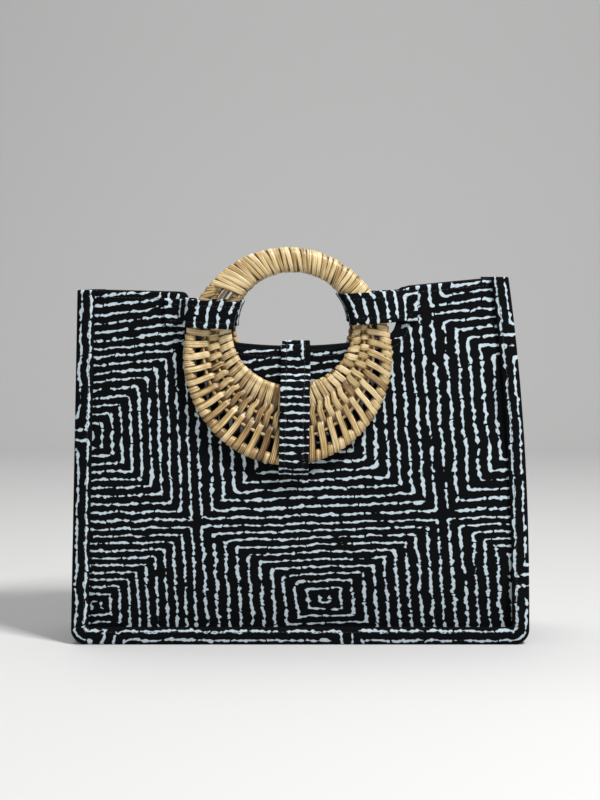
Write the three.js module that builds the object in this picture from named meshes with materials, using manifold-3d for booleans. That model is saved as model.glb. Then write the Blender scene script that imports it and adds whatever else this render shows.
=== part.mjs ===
// A wicker handle bag. Two puffed cloth panels are sewn into a cloth border that makes the sides and the base.
// Each panel has a scooped top, and a ring handle of bent and woven cane hangs in the scoop, lying against the
// panel's outer face. Two cloth loops round the ring's arms and one strap over its crescent hold it.
// Millimetres. The front faces -Y, +X is to the right as seen from the front, and the base rests on z = 0.

import * as THREE from "three";
import { mergeVertices } from "three/addons/utils/BufferGeometryUtils.js";
import Module from "manifold-3d";

const wasm = await Module();
wasm.setup();

// Driving sizes
const clearance = 0.3; // between pieces that touch on the real bag

const bag = {
  width: 390, // across the base
  heightLeft: 300.5,
  heightRight: 311.5,
  depthBase: 110,
  depthTop: 88,
  leanLeft: 7, // how far the left side has come in at its top
  leanRight: 19,
  bendLeft: 1, // power of the height that the lean follows, 1 for a straight side
  bendRight: 2.3,
  cornerRadius: 12, // of the two lower corners, seen from the front
};
const border = {
  width: 15, // how far it comes round on to the front and the back
  wall: 2.5,
  edgeRadius: 4,
  innerCorner: 2,
};
const panel = {
  wall: 2.5,
  seam: 6, // how far it runs on behind the border
  puff: 9, // how far its middle stands out from its edges
  tuckDepth: 3, // a fold pressed in beside the right border
  tuckFromBorder: 9,
  tuckWidth: 6,
  tuckHeight: 200,
  tuckLength: 70,
};
const scoop = {
  centre: -6.5,
  width: 185,
  depth: 50.5,
  topCorner: 8,
  bottomCorner: 20,
  sag: 6, // how much lower the middle of its edge is than the ends
};
const ring = {
  outerWidth: 175,
  outerHeight: 183,
  holeWidth: 102,
  holeHeight: 95,
  holeAboveScoop: 18, // centre of the hole over the scoop's edge
  outerAside: -3.8, // centre of the outer edge, from the centre of the hole
  outerBelow: 23,
  gripThickness: 14,
  gripHalfAngle: 59, // degrees each way from the top
  outerRim: 9.5, // diameters of the two wrapped rims
  innerRim: 7.5,
  webThickness: 4.5,
  webGapsPerRow: 30,
  webGapShare: 0.42, // of the pitch
};
const strap = { wall: 2.2, bend: 5 };
const leftLoop = { aboveHole: 12.5, height: 23, sewn: 12, tilt: -0.05 };
const rightLoop = { aboveHole: 18, height: 26, sewn: 10, tilt: 0.06 };
const frontStrap = { width: 25, aside: 3, inside: 20, sewn: 10, foldRise: 2 };

// Tables of shares

// The panels' top edge, across from the left corner to the right one, rising from the left height to the right.
const topEdge = [
  { across: 0, rise: 0 },
  { across: 0.24, rise: -0.2 },
  { across: 0.75, rise: 0.2 },
  { across: 1, rise: 1 },
];
// Rows of gaps in the woven crescent, from its outer rim to its inner one.
const gapRows = [
  { from: 0.1, to: 0.28 },
  { from: 0.48, to: 0.66 },
];

// Rows of a panel's surface, from its lower edge to its top one, closer together where it curves most.
const panelRows = [0, 0.023, 0.04, 0.075, 0.13, 0.2, 0.3, 0.42, 0.55, 0.68, 0.8, 0.9, 1].map((up) => ({ up }));

const leftHand = -1;
const rightHand = 1;
const degrees = Math.PI / 180;

// Reads a table of shares between its rows.
function fromTable(table, key, value, at) {
  const next = Math.max(1, table.findIndex((row) => row[key] >= at));
  const [low, high] = [table[next - 1], table[next]];
  const share = (at - low[key]) / (high[key] - low[key]);
  return THREE.MathUtils.lerp(low[value], high[value], THREE.MathUtils.clamp(share, 0, 1));
}

// Outline of the bag

// Where a side's outer face is at a height.
function sideX(hand, z) {
  const left = hand === leftHand;
  const height = left ? bag.heightLeft : bag.heightRight;
  const lean = left ? bag.leanLeft : bag.leanRight;
  const share = Math.max(0, z / height) ** (left ? bag.bendLeft : bag.bendRight);
  return hand * (bag.width / 2 - lean * share);
}

// Half the depth of the bag at a height, to the border's outer face.
function halfDepth(z) {
  return (bag.depthBase + (bag.depthTop - bag.depthBase) * (z / bag.heightLeft)) / 2;
}

// Height of the panels' top edge.
function topZ(x) {
  const left = sideX(leftHand, bag.heightLeft);
  const right = sideX(rightHand, bag.heightRight);
  const rise = fromTable(topEdge, "across", "rise", THREE.MathUtils.clamp((x - left) / (right - left), 0, 1));
  return bag.heightLeft + (bag.heightRight - bag.heightLeft) * rise;
}

// How far the panel stands out beyond its sewn edge.
function puffAt(x, z) {
  const clear = border.width + 2 * clearance;
  const left = sideX(leftHand, z) + clear;
  const right = sideX(rightHand, z) - clear;
  const across = THREE.MathUtils.clamp((x - left) / (right - left), 0, 1);
  const up = THREE.MathUtils.clamp((z - clear) / (topZ(x) - clear), 0, 1);
  const rounded = (1 - Math.abs(2 * across - 1) ** 3.5) * (1 - (1 - up) ** 4) * (1 - 0.45 * up ** 2);
  const fromTuck = (x - right + panel.tuckFromBorder) / panel.tuckWidth;
  const alongTuck = (2 * (z - panel.tuckHeight)) / panel.tuckLength;
  const tuck = panel.tuckDepth * Math.exp(-(fromTuck ** 2) - alongTuck ** 2);
  return Math.max(0, panel.puff * rounded - tuck * Math.min(1, 3 * rounded));
}

// Distance of a panel's outer face from the middle of the bag.
function faceDepth(x, z) {
  return halfDepth(z) - border.wall - clearance + puffAt(x, z);
}

// Ring handle, in its own upright plane: x across, y up

const scoopZ = bag.heightLeft - scoop.depth;
const hole = new THREE.Vector2(scoop.centre, scoopZ + ring.holeAboveScoop);
const outer = new THREE.Vector2(hole.x + ring.outerAside, hole.y - ring.outerBelow);
const outerHalf = new THREE.Vector2(ring.outerWidth / 2, ring.outerHeight / 2);
const holeHalf = new THREE.Vector2(ring.holeWidth / 2, ring.holeHeight / 2);

// The line across the ring at an angle, from its outer edge to its hole, and how much wider a round rim
// is along that line than across itself.
function rayAt(angle) {
  const way = new THREE.Vector2(Math.cos(angle), Math.sin(angle));
  const start = outerHalf.clone().multiply(way).add(outer);
  const along = holeHalf.clone().multiply(way).add(hole).sub(start);
  const length = along.length();
  along.normalize();
  const widening = (half) => 1 / Math.abs(way.clone().divide(half).normalize().dot(along));
  return { start, along, length, outerWide: widening(outerHalf), innerWide: widening(holeHalf) };
}

// Where the ring's outer edge or its hole is at a height.
function edgeX(hand, centre, half, z) {
  return centre.x + hand * half.x * Math.sqrt(Math.max(0, 1 - ((z - centre.y) / half.y) ** 2));
}

const crescentTop = hole.y - holeHalf.y;
const crescentBottom = outer.y - outerHalf.y;
const ringLean = (faceDepth(hole.x, scoopZ) - faceDepth(hole.x, crescentBottom)) / (scoopZ - crescentBottom);

// Distance of the ring's middle plane from the middle of the bag, so that the crescent just clears the panel.
function ringDepth(z) {
  return ringRest + ringLean * (z - scoopZ);
}
const footprint = [];
for (let x = -1; x <= 1; x += 0.25)
  for (let z = crescentBottom; z <= scoopZ; z += (scoopZ - crescentBottom) / 8)
    footprint.push(faceDepth(outer.x + x * outerHalf.x, z) - ringLean * (z - scoopZ));
const ringRest = Math.max(...footprint) + clearance + ring.outerRim / 2;

// Solids

// Turns corner points and triangles into a geometry whose faces point out.
function closedGeometry(points, triangles) {
  const volume = triangles.reduce((sum, [a, b, c]) => sum + points[a].dot(points[b].clone().cross(points[c])), 0);
  const geometry = new THREE.BufferGeometry().setFromPoints(points);
  geometry.setIndex(triangles.flatMap(([a, b, c]) => (volume < 0 ? [a, c, b] : [a, b, c])));
  geometry.computeVertexNormals();
  return geometry;
}

// Joins loops of equally many points into one closed skin. Each loop runs out along one side and back along
// the other, so its points face each other in pairs, and the two ends are closed across those pairs.
function skin(loops) {
  const size = loops[0].length;
  const last = (loops.length - 1) * size;
  const triangles = [];
  const quad = (a, b, c, d) => triangles.push([a, b, c], [a, c, d]);
  for (let k = 0; k < loops.length - 1; k++)
    for (let i = 0; i < size; i++) {
      const next = (i + 1) % size;
      quad(k * size + i, k * size + next, (k + 1) * size + next, (k + 1) * size + i);
    }
  for (let i = 0; i < size / 2 - 1; i++) {
    quad(size - 1 - i, size - 2 - i, i + 1, i);
    quad(last + i, last + i + 1, last + size - 2 - i, last + size - 1 - i);
  }
  return closedGeometry(loops.flat(), triangles);
}

// A closed section of a rim or a grip, with its halves across and deep; power 1 is round, less is squarer.
function roundSection(sides, halfAcross, halfDeep, power = 1) {
  return Array.from({ length: sides }, (_, i) => {
    const turn = ((i + 0.5) / sides) * 2 * Math.PI;
    const soft = (value) => Math.sign(value) * Math.abs(value) ** power;
    return new THREE.Vector2(halfAcross * soft(Math.cos(turn)), halfDeep * soft(Math.sin(turn)));
  });
}

function steps(from, to, count) {
  return Array.from({ length: count + 1 }, (_, i) => THREE.MathUtils.lerp(from, to, i / count));
}

function asSolid(geometry) {
  const bare = geometry.clone();
  bare.deleteAttribute("normal");
  bare.deleteAttribute("uv");
  const merged = mergeVertices(bare, 1e-3);
  return new wasm.Manifold(
    new wasm.Mesh({
      numProp: 3,
      vertProperties: new Float32Array(merged.attributes.position.array),
      triVerts: new Uint32Array(merged.index.array),
    }),
  );
}

function asGeometry(solid) {
  const mesh = solid.getMesh();
  const geometry = new THREE.BufferGeometry();
  geometry.setAttribute("position", new THREE.BufferAttribute(mesh.vertProperties, 3));
  geometry.setIndex(new THREE.BufferAttribute(mesh.triVerts, 1));
  geometry.computeVertexNormals();
  return geometry;
}

// Cloth body

// The opening cut in a panel's top, as a block through the panel.
function scoopBlock() {
  const { topCorner: lip, bottomCorner: foot, sag } = scoop;
  const left = scoop.centre - scoop.width / 2;
  const right = scoop.centre + scoop.width / 2;
  const [topLeft, topRight] = [topZ(left), topZ(right)];
  const over = bag.heightRight + bag.width;
  const outline = new THREE.Shape();
  outline.moveTo(left - lip, over);
  outline.lineTo(left - lip, topLeft + clearance);
  outline.quadraticCurveTo(left, topLeft, left, topLeft - lip);
  outline.lineTo(left, scoopZ + sag + foot);
  outline.quadraticCurveTo(left, scoopZ + sag, left + foot, scoopZ + sag);
  outline.quadraticCurveTo(scoop.centre, scoopZ - sag, right - foot, scoopZ + sag);
  outline.quadraticCurveTo(right, scoopZ + sag, right, scoopZ + sag + foot);
  outline.lineTo(right, topRight - lip);
  outline.quadraticCurveTo(right, topRight, right + lip, topRight + clearance);
  outline.lineTo(right + lip, over);
  const block = new THREE.ExtrudeGeometry(outline, { depth: bag.depthBase, bevelEnabled: false, curveSegments: 8 });
  return block.rotateX(Math.PI / 2);
}

// A panel is a wall between its outer face and its inner one. Its columns stand close together at the border.
function panelGeometry() {
  const edge = border.width - panel.seam;
  const free = panel.seam + 2 * clearance; // the panel starts to puff here, just clear of the border
  const nearBorder = [0, free, free + 7.5, free + 15.5, free + 27.5, free + 45.5];
  const left = nearBorder.map((inset) => (z) => sideX(leftHand, z) + edge + inset);
  const right = nearBorder.map((inset) => (z) => sideX(rightHand, z) - edge - inset).reverse();
  const middle = steps(0, 1, 12)
    .slice(1, -1)
    .map((share) => (z) => THREE.MathUtils.lerp(left.at(-1)(z), right[0](z), share));
  const loops = [...left, ...middle, ...right].map((columnX) => {
    const crest = topZ(columnX(bag.heightLeft));
    const outside = panelRows.map(({ up }) => {
      const z = THREE.MathUtils.lerp(edge, crest, up);
      return new THREE.Vector3(columnX(z), -faceDepth(columnX(z), z), z);
    });
    const inside = outside.map((p) => new THREE.Vector3(p.x, p.y + panel.wall, p.z)).reverse();
    return [...outside, ...inside];
  });
  return asGeometry(asSolid(skin(loops)).subtract(asSolid(scoopBlock())));
}

// Stations of the border's outline, from the left top down, along the base and up to the right top, each with
// its point on the outer face and the point where the border ends on the panel.
function borderStations() {
  const radius = bag.cornerRadius;
  const small = border.innerCorner;
  const width = border.width;
  const sides = (hand) =>
    steps(radius, hand === leftHand ? bag.heightLeft : bag.heightRight, 7).map((z) => ({
      out: new THREE.Vector2(sideX(hand, z), z),
      in: new THREE.Vector2(sideX(hand, z) - hand * width, Math.max(z, width + small)),
    }));
  const corner = (hand) =>
    steps(0, Math.PI / 2, 5)
      .slice(1)
      .map((turn) => {
        const away = new THREE.Vector2(hand * Math.cos(turn), -Math.sin(turn));
        const start = sideX(hand, radius) - hand * radius;
        const inner = sideX(hand, radius) - hand * (width + small);
        return {
          out: new THREE.Vector2(start, radius).addScaledVector(away, radius),
          in: new THREE.Vector2(inner, width + small).addScaledVector(away, small),
        };
      });
  return [...sides(leftHand).reverse(), ...corner(leftHand), ...corner(rightHand).reverse(), ...sides(rightHand)];
}

// The border's section is a channel: round its outer edges from the front flange to the back one, then home
// along the inside. Each point is its distance in from the outline and back from the bag's face.
function borderGeometry() {
  const radius = border.edgeRadius;
  const wall = border.wall;
  const turns = steps(0, Math.PI / 2, 3);
  const bend = (r) => turns.map((t) => [radius - r * Math.sin(t), radius - r * Math.cos(t)]);
  const outside = [[border.width, 0], ...bend(radius)];
  const inside = [[border.width, wall], ...bend(radius - wall)];
  const face = (list, sign) => list.map(([inward, back]) => ({ inward, back, sign }));
  const section = [
    ...face(outside, -1),
    ...face([...outside].reverse(), 1),
    ...face(inside, 1),
    ...face([...inside].reverse(), -1),
  ];
  const loops = borderStations().map((station) =>
    section.map(({ inward, back, sign }) => {
      const at = station.out.clone().lerp(station.in, inward / border.width);
      return new THREE.Vector3(at.x, sign * (halfDepth(at.y) - back), at.y);
    }),
  );
  return skin(loops);
}

// Ring handle

// Carries a section round the ring. Its points are the distance in from the outer edge and the depth.
function roundTheRing(angles, section) {
  const loops = angles.map((angle) => {
    const ray = rayAt(angle);
    return section(ray).map(({ x, y }) => {
      const at = ray.start.clone().addScaledVector(ray.along, x);
      return new THREE.Vector3(at.x, y, at.y);
    });
  });
  return skin(loops);
}

const gripEnd = ring.gripHalfAngle * degrees;
const gap = clearance / holeHalf.y + 0.15 * degrees;
const crescentFrom = Math.PI / 2 + gripEnd + gap;
const crescentTo = Math.PI * 2.5 - gripEnd - gap;

function gripGeometry() {
  const angles = steps(Math.PI / 2 - gripEnd, Math.PI / 2 + gripEnd, 20);
  return roundTheRing(angles, (ray) =>
    roundSection(12, ray.length / 2, ring.gripThickness / 2, 0.8).map((p) => p.setX(p.x + ray.length / 2)),
  );
}

function outerRimGeometry() {
  const radius = ring.outerRim / 2;
  return roundTheRing(steps(crescentFrom, crescentTo, 44), (ray) =>
    roundSection(8, radius * ray.outerWide, radius).map((p) => p.setX(p.x + radius * ray.outerWide)),
  );
}

function innerRimGeometry() {
  const radius = ring.innerRim / 2;
  return roundTheRing(steps(crescentFrom, crescentTo, 40), (ray) =>
    roundSection(6, radius * ray.innerWide, radius).map((p) => p.setX(p.x + ray.length - radius * ray.innerWide)),
  );
}

// The woven web between the rims: a flat band with rows of gaps between its strips.
function webGeometry() {
  const pitch = (crescentTo - crescentFrom) / ring.webGapsPerRow;
  const angles = [crescentFrom];
  for (let k = 0; k < ring.webGapsPerRow; k++) {
    const start = crescentFrom + pitch * (k + (1 - ring.webGapShare) / 2);
    angles.push(start, start + pitch * ring.webGapShare);
  }
  angles.push(crescentTo);
  const shares = [0, ...gapRows.flatMap(({ from, to }) => [from, to]), 1];
  const isGap = (column, row) => column % 2 === 1 && row % 2 === 1;
  const across = shares.length;
  const points = [];
  for (const depth of [-ring.webThickness / 2, ring.webThickness / 2])
    for (const angle of angles) {
      const ray = rayAt(angle);
      const first = ring.outerRim * ray.outerWide + clearance + 0.15;
      const last = ray.length - ring.innerRim * ray.innerWide - clearance;
      for (const share of shares) {
        const at = ray.start.clone().addScaledVector(ray.along, THREE.MathUtils.lerp(first, last, share));
        points.push(new THREE.Vector3(at.x, depth, at.y));
      }
    }
  const back = points.length / 2;
  const triangles = [];
  const quad = (a, b, c, d) => triangles.push([a, b, c], [a, c, d]);
  const edge = (a, b) => quad(b, a, a + back, b + back);
  const columns = angles.length - 1;
  const rows = across - 1;
  const filled = (i, j) => i >= 0 && j >= 0 && i < columns && j < rows && !isGap(i, j);
  for (let i = 0; i < columns; i++)
    for (let j = 0; j < rows; j++) {
      if (!filled(i, j)) continue;
      const [a, b, c, d] = [i * across + j, (i + 1) * across + j, (i + 1) * across + j + 1, i * across + j + 1];
      quad(a, b, c, d);
      quad(d + back, c + back, b + back, a + back);
      if (!filled(i, j - 1)) edge(a, b);
      if (!filled(i + 1, j)) edge(b, c);
      if (!filled(i, j + 1)) edge(c, d);
      if (!filled(i - 1, j)) edge(d, a);
    }
  return closedGeometry(points, triangles);
}

// Loops and straps

// A path of straight lengths with rounded corners, as points.
function roundedPath(corners, radius) {
  const path = new THREE.Path();
  path.moveTo(corners[0].x, corners[0].y);
  for (let k = 1; k < corners.length - 1; k++) {
    const [before, corner, after] = corners.slice(k - 1, k + 2);
    const cut = (other) => Math.min(radius, corner.distanceTo(other) / 2.05);
    const enter = corner.clone().addScaledVector(before.clone().sub(corner).normalize(), cut(before));
    const leave = corner.clone().addScaledVector(after.clone().sub(corner).normalize(), cut(after));
    path.lineTo(enter.x, enter.y);
    path.quadraticCurveTo(corner.x, corner.y, leave.x, leave.y);
  }
  path.lineTo(corners.at(-1).x, corners.at(-1).y);
  return path.getPoints(4);
}

// A flat strap along a path. place(point, across) puts a point of the path in space, with across -1 or 1
// for the strap's two edges.
function strapGeometry(path, place) {
  const loops = path.map((point, k) => {
    const ahead = path[Math.min(k + 1, path.length - 1)].clone().sub(path[Math.max(k - 1, 0)]).normalize();
    const aside = new THREE.Vector2(-ahead.y, ahead.x).multiplyScalar(strap.wall / 2);
    const [over, under] = [point.clone().add(aside), point.clone().sub(aside)];
    return [place(over, -1), place(over, 1), place(under, 1), place(under, -1)];
  });
  return skin(loops);
}

// A loop that runs from the panel's outer face in front of the ring's arm, round the arm inside the hole,
// and back behind the arm to the panel's inner face. Its path is seen from above.
function loopGeometry(hand, loop) {
  const middle = hole.y + loop.aboveHole;
  const heights = [middle - loop.height / 2, middle + loop.height / 2];
  const scoopX = scoop.centre + (hand * scoop.width) / 2;
  const armX = hand * Math.max(...steps(...heights, 4).map((z) => hand * edgeX(hand, outer, outerHalf, z)));
  const liftX = hand * Math.max(hand * scoopX + 3, hand * armX + 7);
  const endX = liftX + hand * loop.sewn;
  const homeX = hand * Math.min(hand * armX, hand * scoopX);
  const half = strap.wall / 2;
  const around = ring.gripThickness / 2 + clearance + half;
  const hairX = (z) => edgeX(hand, hole, holeHalf, z) - hand * (clearance + half);
  const faces = heights.flatMap((z) => [faceDepth(scoopX, z) - ringDepth(z), faceDepth(endX, z) - ringDepth(z)]);
  const outerY = -(Math.max(...faces) + 2 * clearance + half);
  const innerY = -(Math.min(...faces) - panel.wall - 2 * clearance - half);
  const corners = [
    [endX, outerY],
    [liftX, outerY],
    [armX - hand * 2, -around],
    [hairX(middle), -around],
    [hairX(middle), around],
    [homeX - hand * 8, Math.max(around, innerY - 1)],
    [scoopX - hand * 1, innerY],
    [endX, innerY],
  ].map(([x, y]) => new THREE.Vector2(x, y));
  return strapGeometry(roundedPath(corners, strap.bend), (point, across) => {
    const share = (point.x - endX) / (hairX(middle) - endX);
    const lift = loop.tilt * (point.x - (endX + hairX(middle)) / 2);
    const z = middle + (across * loop.height) / 2 + lift;
    const x = endX + (hairX(z) - endX) * share;
    return new THREE.Vector3(x, point.y - ringDepth(z), z);
  });
}

// A strap from inside the panel over the scoop's edge, down in front of the crescent, and sewn below it.
// Its path is seen from the side: x is the depth, y the height.
function crescentStrapGeometry() {
  const x = hole.x + frontStrap.aside;
  const half = strap.wall / 2;
  const lift = 2 * clearance + half; // the panel curves a little under the strap
  const onFace = (z) => -(faceDepth(x, z) + lift);
  const onRing = (z) => -(ringDepth(z) + ring.outerRim / 2 + lift);
  const inFace = (z) => -(faceDepth(x, z) - panel.wall - lift);
  const below = crescentBottom - 7;
  const foldZ = scoopZ + lift + frontStrap.foldRise;
  const corners = [
    [inFace(scoopZ - frontStrap.inside), scoopZ - frontStrap.inside],
    [inFace(scoopZ), foldZ],
    [onFace(scoopZ), foldZ],
    [onFace(crescentTop + 9), crescentTop + 9],
    [onRing(crescentTop), crescentTop + 1],
    [onRing(crescentBottom), crescentBottom - 1],
    [onFace(below), below],
    [onFace(below - frontStrap.sewn), below - frontStrap.sewn],
  ].map(([depth, z]) => new THREE.Vector2(depth, z));
  return strapGeometry(
    roundedPath(corners, strap.bend),
    (point, across) => new THREE.Vector3(x + (across * frontStrap.width) / 2, point.x, point.y),
  );
}

// Finishes

const printedCotton = new THREE.MeshStandardMaterial({ color: 0x14161a, roughness: 0.9, metalness: 0 });
const strapCotton = new THREE.MeshStandardMaterial({ color: 0x2b2f36, roughness: 0.9, metalness: 0 });
const cane = new THREE.MeshStandardMaterial({ color: 0xc9a468, roughness: 0.45, metalness: 0 });

function piece(name, geometry, material) {
  const mesh = new THREE.Mesh(geometry, material);
  mesh.name = name;
  return mesh;
}

// One face of the bag, with its panel, ring handle, loops and strap.
function faceOfBag(name) {
  const face = new THREE.Group();
  face.add(piece(`${name}_panel`, panelGeometry(), printedCotton));
  const handle = new THREE.Group();
  handle.add(
    piece(`${name}_ring_grip`, gripGeometry(), cane),
    piece(`${name}_ring_outer_rim`, outerRimGeometry(), cane),
    piece(`${name}_ring_inner_rim`, innerRimGeometry(), cane),
    piece(`${name}_ring_weave`, webGeometry(), cane),
  );
  for (const mesh of handle.children) mesh.position.z = -scoopZ;
  handle.position.set(0, -ringRest, scoopZ);
  handle.rotation.x = Math.atan(ringLean);
  face.add(handle);
  face.add(
    piece(`${name}_left_loop`, loopGeometry(leftHand, leftLoop), strapCotton),
    piece(`${name}_right_loop`, loopGeometry(rightHand, rightLoop), strapCotton),
    piece(`${name}_crescent_strap`, crescentStrapGeometry(), strapCotton),
  );
  return face;
}

const front = faceOfBag("front");
const back = faceOfBag("back");
back.scale.y = -1; // the back is the front seen in a mirror

const wickerHandleBag = new THREE.Group();
wickerHandleBag.add(piece("border", borderGeometry(), printedCotton), front, back);

export default wickerHandleBag;
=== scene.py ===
"""A wicker handle bag: a boxy bag of printed cotton with two ring handles of bound and woven cane.

Everything is in metres, in the bag's own frame: the base stands on z = 0, the front faces -Y, and +X is to
the right as seen from the front. The back is made as the front is, mirrored.
"""

import logging
import math
from dataclasses import dataclass, field, replace
from enum import Enum, IntEnum

import bpy
import numpy as np
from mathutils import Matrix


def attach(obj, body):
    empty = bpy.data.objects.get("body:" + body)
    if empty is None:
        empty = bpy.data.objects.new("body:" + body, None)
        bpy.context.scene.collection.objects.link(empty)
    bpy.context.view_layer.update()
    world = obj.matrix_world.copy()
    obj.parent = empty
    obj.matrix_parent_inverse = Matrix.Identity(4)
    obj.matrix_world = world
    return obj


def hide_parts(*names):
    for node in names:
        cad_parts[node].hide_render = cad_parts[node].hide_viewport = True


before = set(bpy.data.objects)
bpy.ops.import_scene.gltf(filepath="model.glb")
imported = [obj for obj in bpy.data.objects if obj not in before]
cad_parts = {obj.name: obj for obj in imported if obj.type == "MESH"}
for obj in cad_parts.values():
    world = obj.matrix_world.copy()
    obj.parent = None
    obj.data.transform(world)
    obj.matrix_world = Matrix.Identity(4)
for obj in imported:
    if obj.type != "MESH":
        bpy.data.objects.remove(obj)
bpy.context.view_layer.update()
LOG = logging.getLogger("handbag")
BODY = "root"


class Face(Enum):
    """The two faces of the bag, each with its own panel, ring, loops and strap."""

    FRONT = "front"
    BACK = "back"


class Hand(IntEnum):
    """The two hands of the bag as seen from the front, as the sign of their places across."""

    LEFT = -1
    RIGHT = 1


# Surfaces from arrays


@dataclass
class Surface:
    """A mesh as arrays, before it is an object.

    Args:
        points: places, one row each.
        quads: four-sided faces, as rows of point numbers.
        uv: each point's place on its cloth or strip, in metres.
        tint: each point's shade, from 0 to 1: its own tone, and on the cane painted shade as well.
        finish: each face's material number.
    """

    points: np.ndarray
    quads: np.ndarray
    uv: np.ndarray
    tint: np.ndarray
    finish: np.ndarray

    @staticmethod
    def joined(parts: list["Surface"]) -> "Surface":
        """Puts several surfaces into one.

        Args:
            parts: the surfaces.

        Returns:
            One surface with all their points and faces.
        """
        starts = np.cumsum([0] + [len(p.points) for p in parts[:-1]])
        quads = [p.quads + start for p, start in zip(parts, starts)]
        stacked = [np.concatenate([getattr(p, k) for p in parts]) for k in ("uv", "tint", "finish")]
        return Surface(np.concatenate([p.points for p in parts]), np.concatenate(quads), *stacked)

    def on(self, face: Face) -> "Surface":
        """Gives the surface as it is on a face: the back's is the front's in a mirror, with its faces turned.

        Args:
            face: the face of the bag.

        Returns:
            The same surface, or its mirror image.
        """
        if face is Face.FRONT:
            return self
        mirror = self.points * np.array([1.0, -1.0, 1.0])
        return Surface(mirror, self.quads[:, ::-1], self.uv, self.tint, self.finish)

    def facing_out(self) -> "Surface":
        """Turns all faces round where the enclosed volume comes out negative, so that they point outwards.

        Returns:
            The same surface.
        """
        a, b, c, d = (self.points[self.quads[:, k]] for k in range(4))
        volume = np.einsum("ij,ij->", a, np.cross(b, c)) + np.einsum("ij,ij->", a, np.cross(c, d))
        if volume < 0:
            self.quads = self.quads[:, ::-1]
        return self

    def as_object(self, name: str, materials: list[bpy.types.Material],
                  sharp: float = 60.0) -> bpy.types.Object:
        """Makes the mesh object.

        Args:
            name: the object's name.
            materials: its materials, in the order of the face numbers.
            sharp: edges that turn by more than this many degrees stay sharp.

        Returns:
            The new object, at the origin.
        """
        mesh = bpy.data.meshes.new(name)
        mesh.vertices.add(len(self.points))
        mesh.vertices.foreach_set("co", self.points.astype(np.float32).ravel())
        mesh.loops.add(self.quads.size)
        mesh.loops.foreach_set("vertex_index", self.quads.astype(np.int32).ravel())
        mesh.polygons.add(len(self.quads))
        mesh.polygons.foreach_set("loop_start", np.arange(0, self.quads.size, 4, dtype=np.int32))
        mesh.polygons.foreach_set("material_index", self.finish.astype(np.int32))
        places = self.uv[self.quads.ravel()].astype(np.float32)
        mesh.uv_layers.new(name="UVMap").uv.foreach_set("vector", places.ravel())
        mesh.attributes.new("tint", "FLOAT", "POINT").data.foreach_set("value", self.tint.astype(np.float32))
        mesh.update(calc_edges=True)
        mesh.validate()
        mesh.shade_smooth()
        mesh.set_sharp_from_angle(angle=math.radians(sharp))
        for material in materials:
            mesh.materials.append(material)
        made = bpy.data.objects.new(name, mesh)
        bpy.context.scene.collection.objects.link(made)
        return made


def unit(vectors: np.ndarray) -> np.ndarray:
    """Scales each vector to length one."""
    return vectors / np.maximum(np.linalg.norm(vectors, axis=-1, keepdims=True), 1e-12)


def softened(value: np.ndarray, power: float) -> np.ndarray:
    """Raises the size of each value to a power and keeps its sign."""
    return np.sign(value) * np.abs(value) ** power


def eased(value: np.ndarray, low: np.ndarray | float, high: np.ndarray | float) -> np.ndarray:
    """Rises from 0 at low to 1 at high along half a cosine wave."""
    return 0.5 - 0.5 * np.cos(np.pi * np.clip((value - low) / (high - low), 0, 1))


def bell(value: np.ndarray, middle: float, reach: float) -> np.ndarray:
    """A bell of height one: e to the minus square of the distance from its middle over its reach."""
    return np.exp(-(((value - middle) / reach) ** 2))


def run_length(line: np.ndarray) -> np.ndarray:
    """Distances along a line of points from its start."""
    return np.concatenate([[0], np.cumsum(np.linalg.norm(np.diff(line, axis=0), axis=1))])


def read_along(at: np.ndarray, along: np.ndarray, values: np.ndarray) -> np.ndarray:
    """Reads rows of values at distances along a line, in even steps between the given ones."""
    return np.stack([np.interp(at, along, column) for column in values.T], axis=-1)


def grid_of(*ways: np.ndarray) -> np.ndarray:
    """Puts coordinates that may each be constant along a way together as one grid of places."""
    return np.stack(np.broadcast_arrays(*ways), axis=-1)


def turned_edge(wall: float) -> np.ndarray:
    """Distances from a cloth's edge up to half its wall, which space a half circle evenly in angle."""
    return wall / 2 * (1 - np.cos(np.linspace(0, np.pi / 2, 5)))


def folded_steps(length: float, wall: float, count: int) -> np.ndarray:
    """Distances along a cloth, close together at its two turned edges and even between them.

    Args:
        length: the whole length.
        wall: the cloth's thickness.
        count: how many even ones.

    Returns:
        The distances.
    """
    fold = turned_edge(wall)[:-1]
    return np.concatenate([fold, np.linspace(wall / 2, length - wall / 2, count), length - fold[::-1]])


def bent(before: np.ndarray, corner: np.ndarray, after: np.ndarray, steps: int) -> np.ndarray:
    """Rounds a corner with a parabola: (1 - t)^2 * before + 2 * t * (1 - t) * corner + t^2 * after.

    Args:
        before: where the curve starts.
        corner: the corner that it rounds.
        after: where it ends.
        steps: how many points to give.

    Returns:
        The points.
    """
    t = np.linspace(0, 1, steps)[:, None]
    return (1 - t) ** 2 * before + 2 * t * (1 - t) * corner + t**2 * after

def cells(rows: int, columns: int) -> np.ndarray:
    """Numbers the four-sided cells of a grid of points.

    Args:
        rows: points along the first way.
        columns: points along the second way.

    Returns:
        One row of four point numbers for each cell, turned so that first way x second way is outwards.
    """
    index = np.arange(rows * columns).reshape(rows, columns)
    return np.stack([index[:-1, :-1], index[1:, :-1], index[1:, 1:], index[:-1, 1:]], axis=-1).reshape(-1, 4)


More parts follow.
